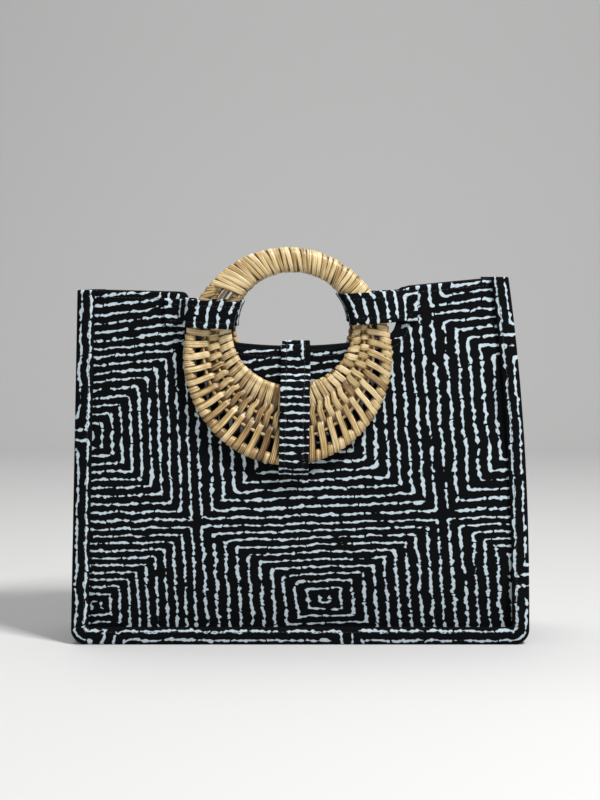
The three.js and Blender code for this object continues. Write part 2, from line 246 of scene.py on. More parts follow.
def cloth_shell(mid: np.ndarray, wall: float, edges: tuple[np.ndarray, np.ndarray], uv: np.ndarray,
                inside: int = 0) -> Surface:
    """Gives a grid of points in the middle of a cloth its thickness, with round turned edges.

    A point at a distance e from the edge, with r half the wall, has the half thickness
    r * sqrt(1 - (1 - e/r)^2), which is a half circle at the edge and the whole wall from e = r on.

    Args:
        mid: the middle surface, as a grid of points.
        wall: the cloth's thickness.
        edges: the distances of the grid's rows and of its columns from the cloth's edge.
        uv: places on the cloth, as a grid.
        inside: the material number of the inner side.

    Returns:
        The closed surface.
    """
    rows, columns = mid.shape[:2]
    normal = unit(np.cross(np.gradient(mid, axis=0), np.gradient(mid, axis=1)))
    half = wall / 2
    away = np.minimum(edges[0][:, None], edges[1][None, :])
    depth = half * np.sqrt(1 - (1 - np.clip(away / half, 0, 1)) ** 2)
    outer, inner = (mid + sign * depth[..., None] * normal for sign in (1, -1))
    rim = np.zeros((rows, columns), bool)
    rim[[0, -1], :] = rim[:, [0, -1]] = True
    numbers = np.arange(rows * columns)
    inner_numbers = np.where(rim.ravel(), numbers, rows * columns + np.cumsum(~rim.ravel()) - 1)
    front = cells(rows, columns)
    back = inner_numbers[front[:, ::-1]]
    points = np.concatenate([outer.reshape(-1, 3), inner.reshape(-1, 3)[~rim.ravel()]])
    places = np.concatenate([uv.reshape(-1, 2), uv.reshape(-1, 2)[~rim.ravel()]])
    finish = np.repeat([0, inside], [len(front), len(back)])
    return Surface(points, np.concatenate([front, back]), places, np.zeros(len(points)), finish)


STRIP = np.array([(-1, 0), (-0.92, 0.42), (-0.64, 0.62), (0.64, 0.62), (0.92, 0.42),
                  (1, 0), (0.92, -0.42), (0.64, -0.62), (-0.64, -0.62), (-0.92, -0.42)])
# painted shade: each strip's edges are darker where it meets its neighbours
STRIP_EDGE_PAINTED_SHADE = np.array([0.6, 0.2, 0, 0, 0.2, 0.6, 0.2, 0, 0, 0.2])
GRAIN_STEP = 0.313
STITCH_REACH = 0.36
STITCH_HALVES = (0.00028, 0.00024)
STITCH_BOW = 0.00032
STITCH_SINK = 0.00012


def round_profile(sides: int, power: float = 1.0) -> np.ndarray:
    """A profile of radius one: each angle's cosine and sine, to a power with their signs kept.

    Args:
        sides: how many points it has.
        power: 1 for a round one, less for a squarer one.

    Returns:
        The points.
    """
    turn = (np.arange(sides) + 0.5) / sides * 2 * np.pi
    return softened(np.stack([np.cos(turn), np.sin(turn)], axis=-1), power)


def swept(centre: np.ndarray, side: np.ndarray, up: np.ndarray, profile: np.ndarray, across: np.ndarray,
          high: np.ndarray, closed: bool = False, tint: np.ndarray | float = 0.0,
          profile_tint: np.ndarray | float = 0.0) -> Surface:
    """Carries a profile along many paths at once: point = centre + side * across * px + up * high * py.

    Args:
        centre: the paths, as (path, step, 3).
        side: the profile's first way at each step.
        up: its second way.
        profile: the profile's points, going out along one side and home along the other.
        across: the scale of the first way at each step, as (path, step) or a number.
        high: the scale of the second way.
        closed: whether each path joins its own start.
        tint: a shade for each path, as (path, 1), or for each step.
        profile_tint: what each point of the profile adds to it.

    Returns:
        The paths' closed skins, with uv as (length along, distance across).
    """
    paths, steps = centre.shape[:2]
    size = len(profile)
    across, high = (np.broadcast_to(x, (paths, steps)) for x in (across, high))
    points = (centre[:, :, None] + side[:, :, None] * (across[..., None] * profile[:, 0])[..., None]
              + up[:, :, None] * (high[..., None] * profile[:, 1])[..., None])
    index = np.arange(paths * steps * size).reshape(paths, steps, size)
    here, there = (index, np.roll(index, -1, axis=1)) if closed else (index[:, :-1], index[:, 1:])
    skin = np.stack([here, np.roll(here, -1, axis=2), np.roll(there, -1, axis=2), there], axis=-1)
    skin = skin.reshape(-1, 4)
    quads = [skin]
    if not closed:
        k = np.arange(size // 2 - 1)
        cap = np.stack([k, k + 1, size - 2 - k, size - 1 - k], axis=-1)
        quads += [index[:, 0][:, cap[:, ::-1]].reshape(-1, 4), index[:, -1][:, cap].reshape(-1, 4)]
    lengths = np.linalg.norm(np.diff(centre, axis=1), axis=-1)
    along = np.concatenate([np.zeros((paths, 1)), np.cumsum(lengths, axis=1)], axis=1)
    along = along + np.arange(paths)[:, None] * GRAIN_STEP
    lateral = across[..., None] * profile[:, 0]
    uv = np.stack([np.broadcast_to(along[..., None], lateral.shape), lateral], axis=-1).reshape(-1, 2)
    shade = np.broadcast_to(tint, (paths, steps))[..., None] + np.broadcast_to(profile_tint, (size,))
    quads = np.concatenate(quads)
    return Surface(points.reshape(-1, 3), quads, uv, shade.ravel(), np.zeros(len(quads))).facing_out()


def stitches(line: np.ndarray, up: np.ndarray, pitch: float = 0.0034) -> Surface:
    """Sews a line of thread: short bowed stitches whose thickness falls off as sqrt(1 - s^2) to their ends.

    Args:
        line: points of the seam.
        up: the cloth's outward way at each of them.
        pitch: from one stitch to the next.

    Returns:
        All stitches in one surface.
    """
    along = run_length(line)
    starts = np.arange(pitch, along[-1] - pitch, pitch)
    share = np.linspace(-1, 1, 5)
    at = starts[:, None] + share * pitch * STITCH_REACH
    centre, out = read_along(at, along, line), unit(read_along(at, along, up))
    body = np.sqrt(np.clip(1 - share**2, 0.05, 1))
    centre = centre + out * (STITCH_BOW * body - STITCH_SINK)[None, :, None]
    side = unit(np.cross(np.gradient(centre, axis=1), out))
    return swept(centre, side, out, round_profile(6), *(half * body for half in STITCH_HALVES))


# Form of the bag


@dataclass(frozen=True)
class BagForm:
    """The bag's outline and the way its panels puff, in the sizes of its solids.

    The shares and rises give the top edge's straight stretches, and the powers shape the panels' puff.
    """

    width: float = 0.390
    height_left: float = 0.3005
    height_right: float = 0.3115
    depth_base: float = 0.110
    depth_top: float = 0.088
    lean_left: float = 0.007
    lean_right: float = 0.019
    bend_right: float = 2.3
    corner: float = 0.012
    border: float = 0.015
    wall: float = 0.0025
    seam: float = 0.006
    gap: float = 0.0003
    puff: float = 0.009
    puff_across: float = 3.5
    puff_up: float = 4.0
    puff_ease: float = 0.45
    tuck_depth: float = 0.003
    tuck_from_border: float = 0.009
    tuck_width: float = 0.006
    tuck_height: float = 0.200
    tuck_length: float = 0.070
    scoop_centre: float = -0.0065
    scoop_width: float = 0.185
    scoop_depth: float = 0.0505
    lip: float = 0.008
    foot: float = 0.020
    sag: float = 0.006
    top_shares: tuple[float, ...] = (0.0, 0.24, 0.75, 1.0)
    top_rises: tuple[float, ...] = (0.0, -0.2, 0.2, 1.0)
    slack_waves: tuple[tuple[float, ...], ...] = (
        (31, 17, 0.4, 0.0004), (-19, 42, 1.9, 0.0003), (55, 9, 3.1, 0.00022),
        (14, -71, 5.0, 0.00016), (83, 33, 2.2, 0.0001))

    @property
    def seam_inset(self) -> float:
        """How far in from the bag's outline a panel's own edge lies, behind the border."""
        return self.border - self.seam
    @property
    def scoop_z(self) -> float:
        """Height of the lowest point of a panel's scooped edge."""
        return self.height_left - self.scoop_depth

    def side_x(self, hand: Hand, z: np.ndarray) -> np.ndarray:
        """Where a side's outer face is: half the width less the lean times a power of the height.

        Args:
            hand: which side.
            z: heights.

        Returns:
            The places across.
        """
        left = hand == Hand.LEFT
        height, lean, bend = ((self.height_left, self.lean_left, 1.0) if left
                              else (self.height_right, self.lean_right, self.bend_right))
        return hand * (self.width / 2 - lean * np.maximum(0, z / height) ** bend)

    def half_depth(self, z: np.ndarray) -> np.ndarray:
        """Half the bag's depth, which narrows evenly with the height."""
        return (self.depth_base + (self.depth_top - self.depth_base) * (z / self.height_left)) / 2

    def top_z(self, x: np.ndarray) -> np.ndarray:
        """Height of the panels' top edge: straight stretches between four shares of the width.

        Args:
            x: places across.

        Returns:
            The heights.
        """
        left = self.side_x(Hand.LEFT, self.height_left)
        right = self.side_x(Hand.RIGHT, self.height_right)
        rise = np.interp((x - left) / (right - left), self.top_shares, self.top_rises)
        return self.height_left + (self.height_right - self.height_left) * rise

    def puffed(self, x: np.ndarray, z: np.ndarray) -> np.ndarray:
        """How far a panel stands out from its sewn edge: a flat-topped hump across times one that rises
        steeply from the base and eases towards the open top, less a tuck beside the right border.

        Args:
            x: places across.
            z: heights.

        Returns:
            The distances out.
        """
        clear = self.border + 2 * self.gap
        left, right = self.side_x(Hand.LEFT, z) + clear, self.side_x(Hand.RIGHT, z) - clear
        across = np.clip((x - left) / (right - left), 0, 1)
        up = np.clip((z - clear) / (self.top_z(x) - clear), 0, 1)
        rise = (1 - (1 - up) ** self.puff_up) * (1 - self.puff_ease * up**2)
        hump = (1 - np.abs(2 * across - 1) ** self.puff_across) * rise
        aside = bell(x, right - self.tuck_from_border, self.tuck_width)
        tuck = self.tuck_depth * aside * bell(z, self.tuck_height, self.tuck_length / 2)
        return np.maximum(0, self.puff * hump - tuck * np.minimum(1, 3 * hump))

    def face_depth(self, x: np.ndarray, z: np.ndarray) -> np.ndarray:
        """Distance of a panel's outer face from the bag's middle."""
        return self.half_depth(z) - self.wall - self.gap + self.puffed(x, z)

    def creases(self, x: np.ndarray, z: np.ndarray) -> np.ndarray:
        """Slight slack of the cloth: a sum of long slanting sine waves, each under half a millimetre high."""
        return sum(size * np.sin(kx * x + kz * z + start) for kx, kz, start, size in self.slack_waves)


# Finishes


class Nodes:
    """Adds shader nodes to a material and joins them up."""

    def __init__(self, material: bpy.types.Material) -> None:
        """Starts on a material's own nodes.

        Args:
            material: the material.
        """
        material.use_nodes = True
        self.tree = material.node_tree
        self.shader = self.tree.nodes["Principled BSDF"]

    def add(self, kind: str, **settings: object) -> bpy.types.Node:
        """Adds a node of a kind and sets its properties.

        Args:
            kind: the node's type.
            settings: its properties by name.

        Returns:
            The node.
        """
        node = self.tree.nodes.new(kind)
        for key, value in settings.items():
            setattr(node, key, value)
        return node

    def plug(self, source: object, socket: bpy.types.NodeSocket) -> None:
        """Links an output to a socket, or sets the socket's own value.

        Args:
            source: an output, or a value.
            socket: the input.
        """
        if isinstance(source, bpy.types.NodeSocket):
            self.tree.links.new(source, socket)
        else:
            socket.default_value = source

    def math(self, operation: str, *inputs: object, clamp: bool = False) -> bpy.types.NodeSocket:
        """Works out a number.

        Args:
            operation: the Math node's operation.
            inputs: numbers or outputs.
            clamp: whether the result stays from 0 to 1.

        Returns:
            The result.
        """
        node = self.add("ShaderNodeMath", operation=operation, use_clamp=clamp)
        for socket, value in zip(node.inputs, inputs):
            self.plug(value, socket)
        return node.outputs[0]

    def place(self) -> bpy.types.NodeSocket:
        """The piece's own UV place, in metres."""
        return self.add("ShaderNodeUVMap", uv_map="UVMap").outputs[0]

    def from_half(self, value: object) -> bpy.types.NodeSocket:
        """How far a number's fraction is from one half."""
        return self.math("ABSOLUTE", self.math("SUBTRACT", self.math("FRACT", value), 0.5))

    def swayed(self, noise: object, size: float, onto: object, clamp: bool = False) -> bpy.types.NodeSocket:
        """Adds a noise, less its middle and times a size, to a number."""
        return self.math("MULTIPLY_ADD", self.math("SUBTRACT", noise, 0.5), size, onto, clamp=clamp)

    def parts(self, source: object, kind: str) -> list[bpy.types.NodeSocket]:
        """Splits a place or a colour into its numbers.

        Args:
            source: the place or the colour.
            kind: the node's type.

        Returns:
            The three numbers.
        """
        node = self.add(kind)
        self.plug(source, node.inputs[0])
        return list(node.outputs)

    def stretched(self, place: object, by: tuple[float, float, float]) -> bpy.types.NodeSocket:
        """Scales a place along each way.

        Args:
            place: the place.
            by: the scale of each way.

        Returns:
            The scaled place.
        """
        node = self.add("ShaderNodeVectorMath", operation="MULTIPLY")
        self.plug(place, node.inputs[0])
        node.inputs[1].default_value = by
        return node.outputs[0]

    def noise(self, place: object, scale: float, detail: float = 2.0,
              colour: bool = False) -> bpy.types.NodeSocket:
        """Reads a noise from 0 to 1, or three of them as a colour.

        Args:
            place: where to read it.
            scale: waves in a metre.
            detail: octaves.
            colour: whether to give three values.

        Returns:
            The noise.
        """
        node = self.add("ShaderNodeTexNoise")
        self.plug(place, node.inputs["Vector"])
        node.inputs["Scale"].default_value = scale
        node.inputs["Detail"].default_value = detail
        return node.outputs["Color" if colour else "Fac"]

    def ramp(self, value: object,
             stops: tuple[tuple[float, tuple[float, float, float]], ...]) -> bpy.types.NodeSocket:
        """Turns a number into a colour between stops.

        Args:
            value: the number.
            stops: places from 0 to 1, each with its colour.

        Returns:
            The colour.
        """
        node = self.add("ShaderNodeValToRGB")
        self.plug(value, node.inputs[0])
        stop_list = node.color_ramp.elements
        while len(stop_list) < len(stops):
            stop_list.new(0.5)
        for element, (at, colour) in zip(stop_list, stops):
            element.position = at
            element.color = (*colour, 1)
        return node.outputs[0]

    def mix(self, share: object, low: object, high: object) -> bpy.types.NodeSocket:
        """Mixes two colours.

        Args:
            share: how much of the second.
            low: the first colour.
            high: the second colour.

        Returns:
            The mixed colour.
        """
        node = self.add("ShaderNodeMix", data_type="RGBA")
        for socket, value in zip((node.inputs[0], node.inputs[6], node.inputs[7]), (share, low, high)):
            self.plug((*value, 1) if isinstance(value, tuple) else value, socket)
        return node.outputs[2]

    def bump(self, height: object, metres: float, strength: float = 1.0) -> None:
        """Gives the shader a relief.

        Args:
            height: the relief, from 0 to 1.
            metres: how high 1 is.
            strength: how much of it shows.
        """
        node = self.add("ShaderNodeBump")
        node.inputs["Strength"].default_value = strength
        node.inputs["Distance"].default_value = metres
        self.plug(height, node.inputs["Height"])
        self.plug(node.outputs[0], self.shader.inputs["Normal"])

    def attribute(self, name: str) -> bpy.types.NodeSocket:
        """Reads a number kept on the mesh's points."""
        return self.add("ShaderNodeAttribute", attribute_name=name).outputs["Fac"]

    def surface(self, roughness: float, shine: float) -> None:
        """Sets how rough and how shiny the shader is all over."""
        self.shader.inputs["Roughness"].default_value = roughness
        self.shader.inputs["Specular IOR Level"].default_value = shine


@dataclass(frozen=True)
class PrintedCotton:
    """Black cotton printed by hand with broken, wavy pale lines that nest as rectangles in each tile.

    With a and b the distances from a tile's middle as shares of its half width and half height, the lines lie
    where max(a, b) times the number of lines is halfway between whole numbers. Noise bends them, swells and
    thins them, and breaks them at odd lengths. The fields that end in noise give its waves in a metre and its
    size.
    """

    name: str = "printed_cotton"
    ground: tuple[float, float, float] = (0.0012, 0.0016, 0.0025)
    ink: tuple[float, float, float] = (0.56, 0.66, 0.72)
    tile_width: float = 0.204
    tile_height: float = 0.163
    lines: float = 11.0
    tile_corner: float = 0.05
    half_line: float = 0.138
    least_half: float = 0.05
    edge_slope: float = 22.0
    bend_noises: tuple[tuple[float, float], ...] = ((48, 0.0042), (190, 0.0019))
    swell_noise: tuple[float, float] = (165, 0.30)
    nick_noise: tuple[float, float] = (270, 0.34)
    dash: float = 0.030
    dash_start: float = 9.0
    dash_noise: tuple[float, float] = (60, 1.6)
    break_share: float = 0.035
    end_slope: float = 16.0
    seed_steps: tuple[float, float, float] = (13.0, 7.0, 29.0)
    wear_noise: tuple[float, float] = (420, 0.5)
    least_ink: float = 0.68
    thread_pitch: float = 0.0009
    thread_share: float = 0.35

    def ends(self, n: Nodes, place: object, ways: list, tiles: list, ring: object, upright: object) -> object:
        """Breaks each line at odd lengths, shifted by a number drawn for the line, with rounded ends.

        Args:
            n: the material's nodes.
            place: the place on the cloth.
            ways: the bent places across and up.
            tiles: those in tiles.
            ring: the number of the line, counted from the tile's middle.
            upright: 1 where the line runs up, 0 where it runs across.

        Returns:
            The share of the line's width that is left.
        """
        across_step, up_step, upright_step = self.seed_steps
        seed = n.math("MULTIPLY_ADD", upright, upright_step, n.math("FLOOR", ring))
        for tile, step in zip(tiles, (across_step, up_step)):
            seed = n.math("MULTIPLY_ADD", n.math("FLOOR", tile), step, seed)
        dice = n.add("ShaderNodeTexWhiteNoise", noise_dimensions="1D")
        n.plug(seed, dice.inputs["W"])
        level = n.math("SUBTRACT", 1.0, upright)
        run = n.math("ADD", n.math("MULTIPLY", upright, ways[1]), n.math("MULTIPLY", level, ways[0]))
        dash = n.math("DIVIDE", run, self.dash)
        dash = n.math("MULTIPLY_ADD", dice.outputs["Value"], self.dash_start, dash)
        scale, size = self.dash_noise
        dash = n.math("MULTIPLY_ADD", n.noise(place, scale, 1.0), size, dash)
        to_break = n.math("SUBTRACT", 0.5 - self.break_share, n.from_half(dash))
        return n.math("SQRT", n.math("MULTIPLY", to_break, self.end_slope, clamp=True))

    def build(self) -> bpy.types.Material:
        """Makes the material.

        Returns:
            The material.
        """
        material = bpy.data.materials.new(self.name)
        n = Nodes(material)
        place = n.place()
        straight = n.parts(place, "ShaderNodeSeparateXYZ")[:2]
        ways = straight
        for scale, size in self.bend_noises:
            drift = n.parts(n.noise(place, scale, 1.0, colour=True), "ShaderNodeSeparateColor")
            ways = [n.swayed(value, size, way) for value, way in zip(drift, ways)]
        tiles = [n.math("DIVIDE", way, size) for way, size in zip(ways, (self.tile_width, self.tile_height))]
        a, b = (n.math("MULTIPLY", n.from_half(tile), 2.0) for tile in tiles)
        ring = n.math("MULTIPLY", n.math("SMOOTH_MAX", a, b, self.tile_corner), self.lines)
        ends = self.ends(n, place, ways, tiles, ring, n.math("GREATER_THAN", a, b))
        swell = n.swayed(n.noise(place, self.swell_noise[0], 1.0), self.swell_noise[1], self.half_line)
        swell = n.swayed(n.noise(place, self.nick_noise[0], 0.0), self.nick_noise[1], swell)
        half = n.math("MULTIPLY", n.math("MAXIMUM", swell, self.least_half), ends)
        inside = n.math("SUBTRACT", half, n.from_half(ring))
        mark = n.math("MULTIPLY", inside, self.edge_slope, clamp=True)
        worn = n.noise(place, self.wear_noise[0], 3.0)
        worn = n.math("MULTIPLY_ADD", worn, self.wear_noise[1], self.least_ink, clamp=True)
        n.plug(n.mix(n.math("MULTIPLY", mark, worn), self.ground, self.ink), n.shader.inputs["Base Color"])
        turns = 2 * math.pi / self.thread_pitch
        threads = [n.math("SINE", n.math("MULTIPLY", way, turns)) for way in straight]
        crossed = n.math("MULTIPLY", *threads)
        n.bump(n.math("MULTIPLY_ADD", crossed, self.thread_share, n.noise(place, 900, 2.0)), 0.00025, 0.35)
        n.surface(0.85, 0.1)
        return material


@dataclass(frozen=True)
class PlainCotton:
    """The cloth's plain wrong side, a soft black with a fine woven grain."""

    name: str = "plain_cotton"
    colour: tuple[float, float, float] = (0.004, 0.0045, 0.0055)

    def build(self) -> bpy.types.Material:
        """Makes the material.

        Returns:
            The material.
        """
        material = bpy.data.materials.new(self.name)
        n = Nodes(material)
        grain = n.noise(n.stretched(n.place(), (1, 3, 1)), 700, 2.0)
        n.plug(n.mix(grain, self.colour, tuple(2.1 * c for c in self.colour)), n.shader.inputs["Base Color"])
        n.bump(grain, 0.0003, 0.4)
        n.surface(0.9, 0.12)
        return material


@dataclass(frozen=True)
class SplitCane:
    """Split cane: straw to brown strips with fine fibres along them and a satin skin.

    Args:
        name: the material's name.
        fibre: how many fibres to a metre across the strip.
        stops: its colours, from pale skin to dark pith; the darkest also give the painted shade carried in
            the tint.
    """

    name: str = "split_cane"
    fibre: float = 1300.0
    stops: tuple[tuple[float, tuple[float, float, float]], ...] = (
        (0.0, (0.80, 0.625, 0.35)), (0.3, (0.48, 0.33, 0.135)),
        (0.6, (0.21, 0.112, 0.038)), (1.0, (0.03, 0.014, 0.005)))

    def build(self) -> bpy.types.Material:
        """Makes the material.

        Returns:
            The material.
        """
        material = bpy.data.materials.new(self.name)
        n = Nodes(material)
        place = n.place()
        streaks = n.noise(n.stretched(place, (0.025, 1, 1)), self.fibre, 4.0)
        stains = n.noise(n.stretched(place, (0.35, 1, 1)), 90, 2.0)
        shade = n.swayed(stains, 0.8, n.swayed(streaks, 1.8, n.attribute("tint")), clamp=True)
        n.plug(n.ramp(shade, self.stops), n.shader.inputs["Base Color"])
        n.bump(streaks, 0.0005, 0.8)
        n.surface(0.33, 0.5)
        return material


@dataclass(frozen=True)
class BlackThread:
    """Black sewing thread with a slight shine."""

    name: str = "black_thread"
    low: tuple[float, float, float] = (0.006, 0.006, 0.008)
    high: tuple[float, float, float] = (0.03, 0.03, 0.036)

    def build(self) -> bpy.types.Material:
        """Makes the material.

        Returns:
            The material.
        """
        material = bpy.data.materials.new(self.name)
        n = Nodes(material)
        twist = n.noise(n.stretched(n.place(), (1, 0.2, 1)), 2500, 1.0)
        n.plug(n.mix(twist, self.low, self.high), n.shader.inputs["Base Color"])
        n.bump(twist, 0.0001, 0.5)
        n.surface(0.45, 0.5)
        return material


@dataclass
class Finishes:
    """The bag's finishes, each made once."""

    print_cloth: bpy.types.Material = field(default_factory=PrintedCotton().build)
    plain_cloth: bpy.types.Material = field(default_factory=PlainCotton().build)
    cane: bpy.types.Material = field(default_factory=SplitCane().build)
    thread: bpy.types.Material = field(default_factory=BlackThread().build)


def settle(piece: bpy.types.Object, slot: str, *nodes: str) -> bpy.types.Object:
    """Rides a piece on the bag and hides the solids that it stands for.

    Args:
        piece: the piece.
        slot: not used.
        nodes: the solids that it replaces.

    Returns:
        The piece.
    """
    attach(piece, BODY)
    if nodes:
        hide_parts(*nodes)
    return piece


# Cloth body


@dataclass
class ClothPanel:
    """A puffed cloth panel with a scooped, turned top edge.

    Args:
        form: the bag's form.
        finishes: the bag's finishes.
        face: which face it is on.
        columns: grid columns between the two turned side edges.
        rows: grid rows below the band along the top edge.
        band: the width of that band.
        side_weight: how much an upright stretch of the top edge counts when columns are shared out.
        usual_height: a panel's usual height below its band.
        hem: the stitches' distance from the top edge.
        slack_from: how far the panel must puff for its slack waves to show in full.
        slack_in: how far the slack takes it in.
        foot_dip: how far it dips in at its foot, whose middle and reach follow.
        more_tuck: how much deeper the tuck is than the solid's.
        tiles_across: chosen places across, and the number of the tile's edge or middle that falls there.
        tiles_up: the same for heights.
    """

    form: BagForm
    finishes: Finishes
    face: Face
    columns: int = 210
    rows: int = 92
    band: float = 0.0065
    side_weight: float = 0.22
    usual_height: float = 0.25
    hem: float = 0.0055
    slack_from: float = 0.004
    slack_in: float = 0.0004
    foot_dip: float = 0.0055
    foot_middle: float = 0.018
    foot_reach: float = 0.032
    more_tuck: float = 0.003
    tiles_across: tuple[tuple[float, ...], tuple[float, ...]] = (
        (-0.2686, -0.1798, -0.0912, 0.1125, 0.220, 0.33), (-1, -0.5, 0, 1, 1.5, 2))
    tiles_up: tuple[tuple[float, ...], tuple[float, ...]] = (
        (-0.03, 0.0386, 0.1065, 0.2715, 0.3545), (-1, -0.5, 0, 1, 1.5))

    def top_ends(self) -> tuple[float, float]:
        """Where the top edge starts and ends across, behind the borders.

        Returns:
            The left and the right end.
        """
        f = self.form
        return (f.side_x(Hand.LEFT, f.height_left) + f.seam_inset,
                f.side_x(Hand.RIGHT, f.height_right) - f.seam_inset)

    def top_line(self) -> np.ndarray:
        """The top edge from the left border to the right one, round the scoop. Its corners and the sagging
        bottom are parabolas.

        Returns:
            Its points (across, up), spaced evenly between the turned edges.
        """
        f = self.form
        left, right = f.scoop_centre - f.scoop_width / 2, f.scoop_centre + f.scoop_width / 2
        start, end = self.top_ends()
        low, high_left, high_right = f.scoop_z + f.sag, float(f.top_z(left)), float(f.top_z(right))
        corners = np.array([
            [(left - f.lip, high_left), (left, high_left), (left, high_left - f.lip)],
            [(left, low + f.foot), (left, low), (left + f.foot, low)],
            [(left + f.foot, low), (f.scoop_centre, low - 2 * f.sag), (right - f.foot, low)],
            [(right - f.foot, low), (right, low), (right, low + f.foot)],
            [(right, high_right - f.lip), (right, high_right), (right + f.lip, high_right)],
        ])
        flats = np.linspace(start, left - f.lip, 40)[:-1], np.linspace(right + f.lip, end, 40)[1:]
        before, after = (np.stack([x, f.top_z(x)], axis=-1) for x in flats)
        line = np.concatenate([before, *(bent(*corner, 40) for corner in corners), after])
        line = line[np.concatenate([[True], np.linalg.norm(np.diff(line, axis=0), axis=1) > 1e-7])]
        along = run_length(line)
        return read_along(folded_steps(along[-1], f.wall, self.columns), along, line)

    def edge_ways(self, top: np.ndarray) -> tuple[np.ndarray, np.ndarray]:
        """The way along the top edge and the way square to it, into the cloth."""
        way = unit(np.gradient(top, axis=0))
        return way, np.stack([way[:, 1], -way[:, 0]], axis=-1)

    def flat_grid(self) -> tuple[np.ndarray, np.ndarray, np.ndarray]:
        """Lays the grid out as seen from the front: a band square to the top edge, and columns below it.

        Returns:
            The places (across, up) as a grid, and the columns' and rows' distances from the cloth's edges.
        """
        f = self.form
        top = self.top_line()
        way, into = self.edge_ways(top)
        fold = turned_edge(f.wall)
        band = np.concatenate([fold, np.linspace(f.wall / 2, self.band, 5)[1:]])
        near = top[:, None] + into[:, None] * band[None, :, None]
        edge = near[:, -1]
        along = run_length(top)
        weight = np.abs(way[:, 0]) + self.side_weight * np.abs(way[:, 1])
        share = np.concatenate([[0], np.cumsum(0.5 * (weight[1:] + weight[:-1]) * np.diff(along))])
        share /= share[-1]
        up = np.linspace(f.wall / 2 / self.usual_height, 1, self.rows)[1:-1]
        up = np.concatenate([fold / self.usual_height, up])
        z = f.seam_inset + up[None, :] * (edge[:, 1:2] - f.seam_inset)
        left, right = f.side_x(Hand.LEFT, z) + f.seam_inset, f.side_x(Hand.RIGHT, z) - f.seam_inset
        start, end = self.top_ends()
        straight = left + share[:, None] * (right - left)
        at_edge = left + (edge[:, :1] - start) / (end - start) * (right - left)
        blend = (up**1.5)[None, :]
        below = np.stack([straight * (1 - blend) + at_edge * blend, z], axis=-1)
        grid = np.concatenate([below, near[:, ::-1]], axis=1)
        from_end = np.concatenate([up * self.usual_height, band[::-1]])
        return grid, np.minimum(along, along[-1] - along), from_end

    def printed_place(self, x: np.ndarray, z: np.ndarray) -> np.ndarray:
        """Where the panel's points lie on the print. Tiles' middles and edges stand at chosen places across
        and up, and lean a little as the cloth was cut: more to the right, and less at the left of the top.

        Args:
            x: places across.
            z: heights.

        Returns:
            The places on the print, in metres.
        """
        cloth = PrintedCotton()
        slant = np.interp(x, [-0.09, 0.11], [0.038, 0.085])
        top_slant = np.interp(x, [-0.10, 0.0], [0.4, 0])
        upright = x + slant * (z - 0.20) - top_slant * np.maximum(0, z - 0.263)
        level = z - np.interp(z, [0.107, 0.272], [0.03, 0.11]) * x
        u = np.interp(upright, *self.tiles_across)
        v = np.interp(level, *self.tiles_up)
        if self.face is Face.BACK:
            u, v = u * 1.04 + 0.37, v + 0.45
        return np.stack([u * cloth.tile_width, v * cloth.tile_height], axis=-1)

    def hem_stitches(self) -> bpy.types.Object:
        """Sews the hem along the top edge.

        Returns:
            The stitches.
        """
        top = self.top_line()
        x, z = (top + self.edge_ways(top)[1] * self.hem)[6:-6].T
        line = np.stack([x, -self.form.face_depth(x, z), z], axis=-1)
        sewn = stitches(line, np.tile([0.0, -1.0, 0.0], (len(line), 1))).on(self.face)
        piece = sewn.as_object(f"{self.face.value}_hem_stitches", [self.finishes.thread])
        return settle(piece, "printed_cotton")

    def build(self) -> bpy.types.Object:
        """Makes the panel with its wrong side plain, and its hem.

        Returns:
            The panel.
        """
        f, name = self.form, self.face.value
        grid, from_side, from_end = self.flat_grid()
        x, z = grid[..., 0], grid[..., 1]
        slack = np.clip(f.puffed(x, z) / self.slack_from, 0, 1)
        depth = f.face_depth(x, z) - f.wall / 2 + (f.creases(x, z) - self.slack_in) * slack
        depth = depth - self.foot_dip * bell(z, self.foot_middle, self.foot_reach)
        aside = bell(x, f.side_x(Hand.RIGHT, z) - f.border - f.tuck_from_border, f.tuck_width)
        depth = depth - self.more_tuck * aside * bell(z, f.tuck_height, f.tuck_length / 2.2)
        mid = np.stack([x, -depth, z], axis=-1)
        shell = cloth_shell(mid, f.wall, (from_side, from_end), self.printed_place(x, z), inside=1)
        both_sides = [self.finishes.print_cloth, self.finishes.plain_cloth]
        piece = shell.on(self.face).as_object(f"{name}_panel_cloth", both_sides)
        settle(piece, "printed_cotton", f"{name}_panel")
        hem = self.hem_stitches()
        return piece


